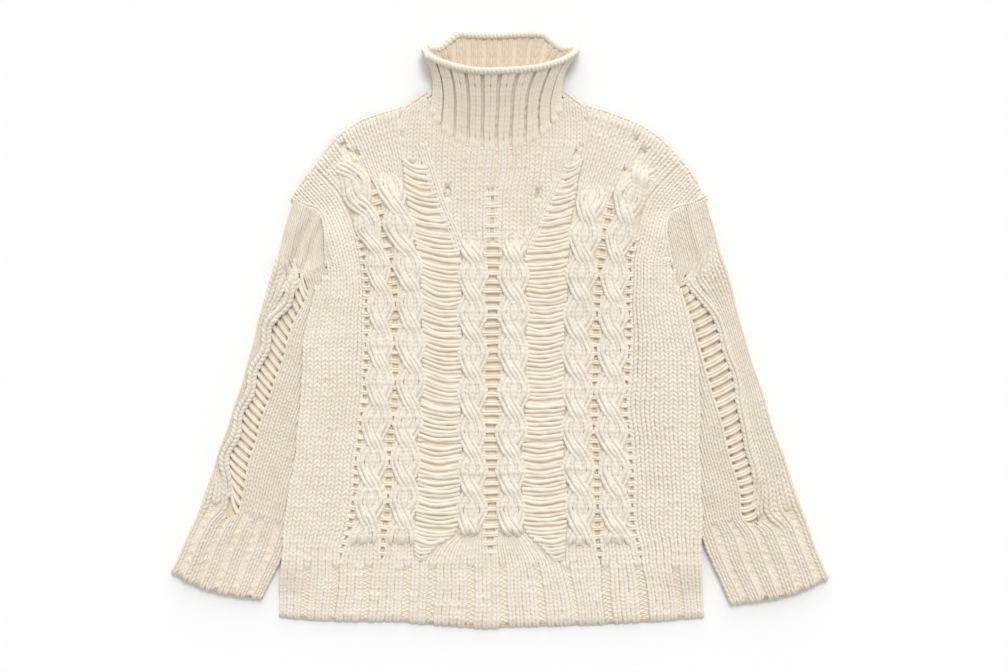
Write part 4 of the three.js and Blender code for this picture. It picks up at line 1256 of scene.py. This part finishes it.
def collar():
    cloth, mesh, inner, rim = Mesh(), Mesh(), Mesh(), Mesh()
    around = 8 * COLLAR_RIBS
    angle = collar_angle(np.linspace(0, 2 * COLLAR_RIBS, around, endpoint=False))[None, :]
    run = np.linspace(0, COLLAR_RUN, 24)[:, None]
    out = collar_point(angle, run, True)
    inn = collar_point(angle, run, False)
    thin_out = mix(out, inn, 0.7)
    size = out.shape[0] * around
    faces = [grid_faces(24, around, closed=True, flip=True), grid_faces(24, around, closed=True) + size]
    for k, low in ((0, True), (23, False)):
        ring = k * around + np.arange(around)
        following = np.roll(ring, -1)
        quad = np.stack([ring, ring + size, following + size, following], -1)
        faces.append(quad if not low else quad[:, ::-1])
    cloth.add(np.concatenate([thin_out.reshape(-1, 3), inn.reshape(-1, 3)]), np.vstack(faces))
    # Two wales to a rib with a purl groove between, outside on the front half and inside on the back half.
    rows = rows_between(0, COLLAR_RUN, ROW)
    for k in range(2 * COLLAR_RIBS):
        inner_face = k >= COLLAR_RIBS
        groove = (0.98, 0.48, 3.4, purl) if inner_face else (0.98, 0.24, 3.2, purl)
        plump = (0.32, 0.7) if inner_face else (0.40, 1.2)
        for place, wide, sunk, stitch in (*((cord, *plump, cords) for cord in RIB_CORDS), groove):
            ahead = collar_point(collar_angle(k + place + 0.1), rows, not inner_face)
            behind = collar_point(collar_angle(k + place - 0.1), rows, not inner_face)
            path = collar_point(collar_angle(k + place), rows, not inner_face)
            other = collar_point(collar_angle(k + place), rows, inner_face)
            width = np.linalg.norm(ahead - behind, axis=-1) / 0.2 * wide
            normal = unit(np.cross(unit(ahead - behind), unit(np.gradient(path, axis=0))))
            normal = normal * np.sign((normal * (path - other)).sum(-1, keepdims=True) + 1e-9)
            level = sunk if inner_face else mix(path[0, 2] - LAYER - STITCH_FOOT, sunk, smooth(0, 18, rows))
            foot = path - normal * (level + 0 * rows)[:, None]
            stitch(inner if inner_face else mesh, foot[None], np.clip(width, 3, 9)[None], normal[None])
    # A cord round the neckline closes the seam at the foot of the grooves
    foot = collar_point(np.linspace(-0.1, math.pi + 0.1, 90), 0.0, True) - [0, 0.6, 2.5]
    strand(mesh, foot[None], 1.8)
    # Rolled edge
    around = 132
    angle = collar_angle(np.linspace(0, 2 * COLLAR_RIBS, around, endpoint=False))
    out, inn = collar_point(angle, COLLAR_RUN, True), collar_point(angle, COLLAR_RUN, False)
    along = unit(out - collar_point(angle, COLLAR_RUN - 20, True))
    away = unit(out - inn)
    middle = (out + inn) / 2 + 3 * along + 0.8 * away
    middle[:, 2] = np.maximum(middle[:, 2], BEAD - 0.6)
    turn = np.linspace(0, 2 * math.pi, 14, endpoint=False)
    ring = (middle[:, None] + (BEAD - 1.0) * (np.cos(turn)[None, :, None] * away[:, None]
                                              + np.sin(turn)[None, :, None] * along[:, None]))
    ring[..., 2] = np.maximum(ring[..., 2], 0)
    index = np.arange(around * 14).reshape(around, 14)
    nxt = np.roll(index, -1, 0)
    rim.add(ring.reshape(-1, 3), np.stack([index, nxt, np.roll(nxt, -1, 1), np.roll(index, -1, 1)], -1)
            .reshape(-1, 4))
    # Slanted stitches laid round the roll
    count = 84
    centre = np.linspace(0, around, count, endpoint=False)
    base = np.stack([np.interp(centre, np.arange(around + 1), np.append(middle[:, i], middle[0, i]))
                     for i in range(3)], -1)
    aw = unit(np.stack([np.interp(centre, np.arange(around + 1), np.append(away[:, i], away[0, i]))
                        for i in range(3)], -1))
    al = unit(np.stack([np.interp(centre, np.arange(around + 1), np.append(along[:, i], along[0, i]))
                        for i in range(3)], -1))
    step_way = (np.roll(base, -1, 0) - np.roll(base, 1, 0)) / 2
    turns = np.linspace(-0.9, math.pi + 0.9, 15)
    shift = np.linspace(-0.8, 0.8, 15)
    paths = (base[:, None] + (BEAD - 2.8) * (np.cos(turns)[None, :, None] * aw[:, None]
                                             + np.sin(turns)[None, :, None] * al[:, None])
             + step_way[:, None] * shift[None, :, None])
    paths[..., 2] = np.maximum(paths[..., 2], 3.4)
    strand(rim, paths, 2.6, sides=7)
    made = cloth.build("collar_cloth", lining_painted_shade)
    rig.replaces(made, "collar")
    return made, [mesh.build("collar_knit", collar_painted_light), inner.build("collar_inside", collar_inside_painted_shade),
                  rim.build("collar_rim", yarn)]


front_cloth, front_pieces = front()
back_cloth = back()
sleeves = {side: sleeve(side) for side in ("left", "right")}
collar_cloth, collar_pieces = collar()


def flat_area(obj):
    return sum(p.area for p in obj.data.polygons) / 2


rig.sheet(front_cloth, flat=(0.512, 0.636), held="laid", rests_on=["back_cloth"], area=0.26,
         with_pieces=front_pieces)
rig.sheet(back_cloth, flat=(0.512, 0.636), held="laid", rests_on=["floor"], area=0.29)
for side, (cloth, pieces) in sleeves.items():
    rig.sheet(cloth, flat=(0.22, 0.46), held="laid", rests_on=["floor"], area=0.095, with_pieces=pieces)
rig.sheet(collar_cloth, flat=(0.36, 0.095), held="laid", rests_on=["floor"], area=0.033,
         with_pieces=collar_pieces)

# Stage
floor = bpy.data.objects.new("floor", bpy.data.meshes.new("floor"))
floor.data.from_pydata([(-6, -6, -0.0005), (6, -6, -0.0005), (6, 6, -0.0005), (-6, 6, -0.0005)], [],
                       [(0, 1, 2, 3)])
bpy.context.scene.collection.objects.link(floor)
paper = bpy.data.materials.new("white_paper")
paper.use_nodes = True
paper.node_tree.nodes["Principled BSDF"].inputs["Base Color"].default_value = (0.915, 0.915, 0.915, 1)
paper.node_tree.nodes["Principled BSDF"].inputs["Roughness"].default_value = 1.0
paper.node_tree.nodes["Principled BSDF"].inputs["Specular IOR Level"].default_value = 0.0
floor.data.materials.append(paper)
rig.stage(floor)

world = bpy.data.worlds.new("studio")
bpy.context.scene.world = world
world.use_nodes = True
world.node_tree.nodes["Background"].inputs["Color"].default_value = (1.0, 1.0, 1.0, 1)
world.node_tree.nodes["Background"].inputs["Strength"].default_value = 0.57


def sun(name, elevation, azimuth, strength, angle, color=(1, 1, 1)):
    data = bpy.data.lights.new(name, "SUN")
    data.energy = strength
    data.angle = math.radians(angle)
    data.color = color
    lamp = bpy.data.objects.new(name, data)
    bpy.context.scene.collection.objects.link(lamp)
    e, a = math.radians(elevation), math.radians(azimuth)
    lamp.rotation_euler = (math.pi / 2 - e, 0, a)
    return lamp


sun("key", 54, 180 - 12, 1.5, 22)
sun("low", 17, 180 - 4, 1.35, 45)

camera_data = bpy.data.cameras.new("camera")
camera_data.sensor_width = 36
camera_data.lens = 85
camera = bpy.data.objects.new("camera", camera_data)
bpy.context.scene.collection.objects.link(camera)
bpy.context.scene.camera = camera
VIEW_WIDE = 1.2096
PHOTO_MIDDLE = (10.8, 350.4)  # the point under the camera, in millimetres
camera.location = (*((PHOTO_MIDDLE - ORIGIN[:2]) * MM), VIEW_WIDE * 85 / 36 + 0.006)
camera.rotation_euler = (0, 0, 0)
bpy.context.scene.view_settings.view_transform = "Standard"

new_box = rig.bounds()
with open("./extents.json", "w") as f:
    json.dump({"cad": [list(c) for c in cad_box], "visual": [list(c) for c in new_box]}, f)
with open("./pieces.json", "w") as f:
    json.dump({m.name: [sum(len(p.vertices) - 2 for p in m.data.polygons),
                        min(v.co.z for v in m.data.vertices) * 1000,
                        sum(p.area for p in m.data.polygons)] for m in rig.pieces()}, f)
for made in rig.pieces():
    print("piece", made.name, sum(len(p.vertices) - 2 for p in made.data.polygons),
          round(min(v.co.z for v in made.data.vertices) * 1000, 2))
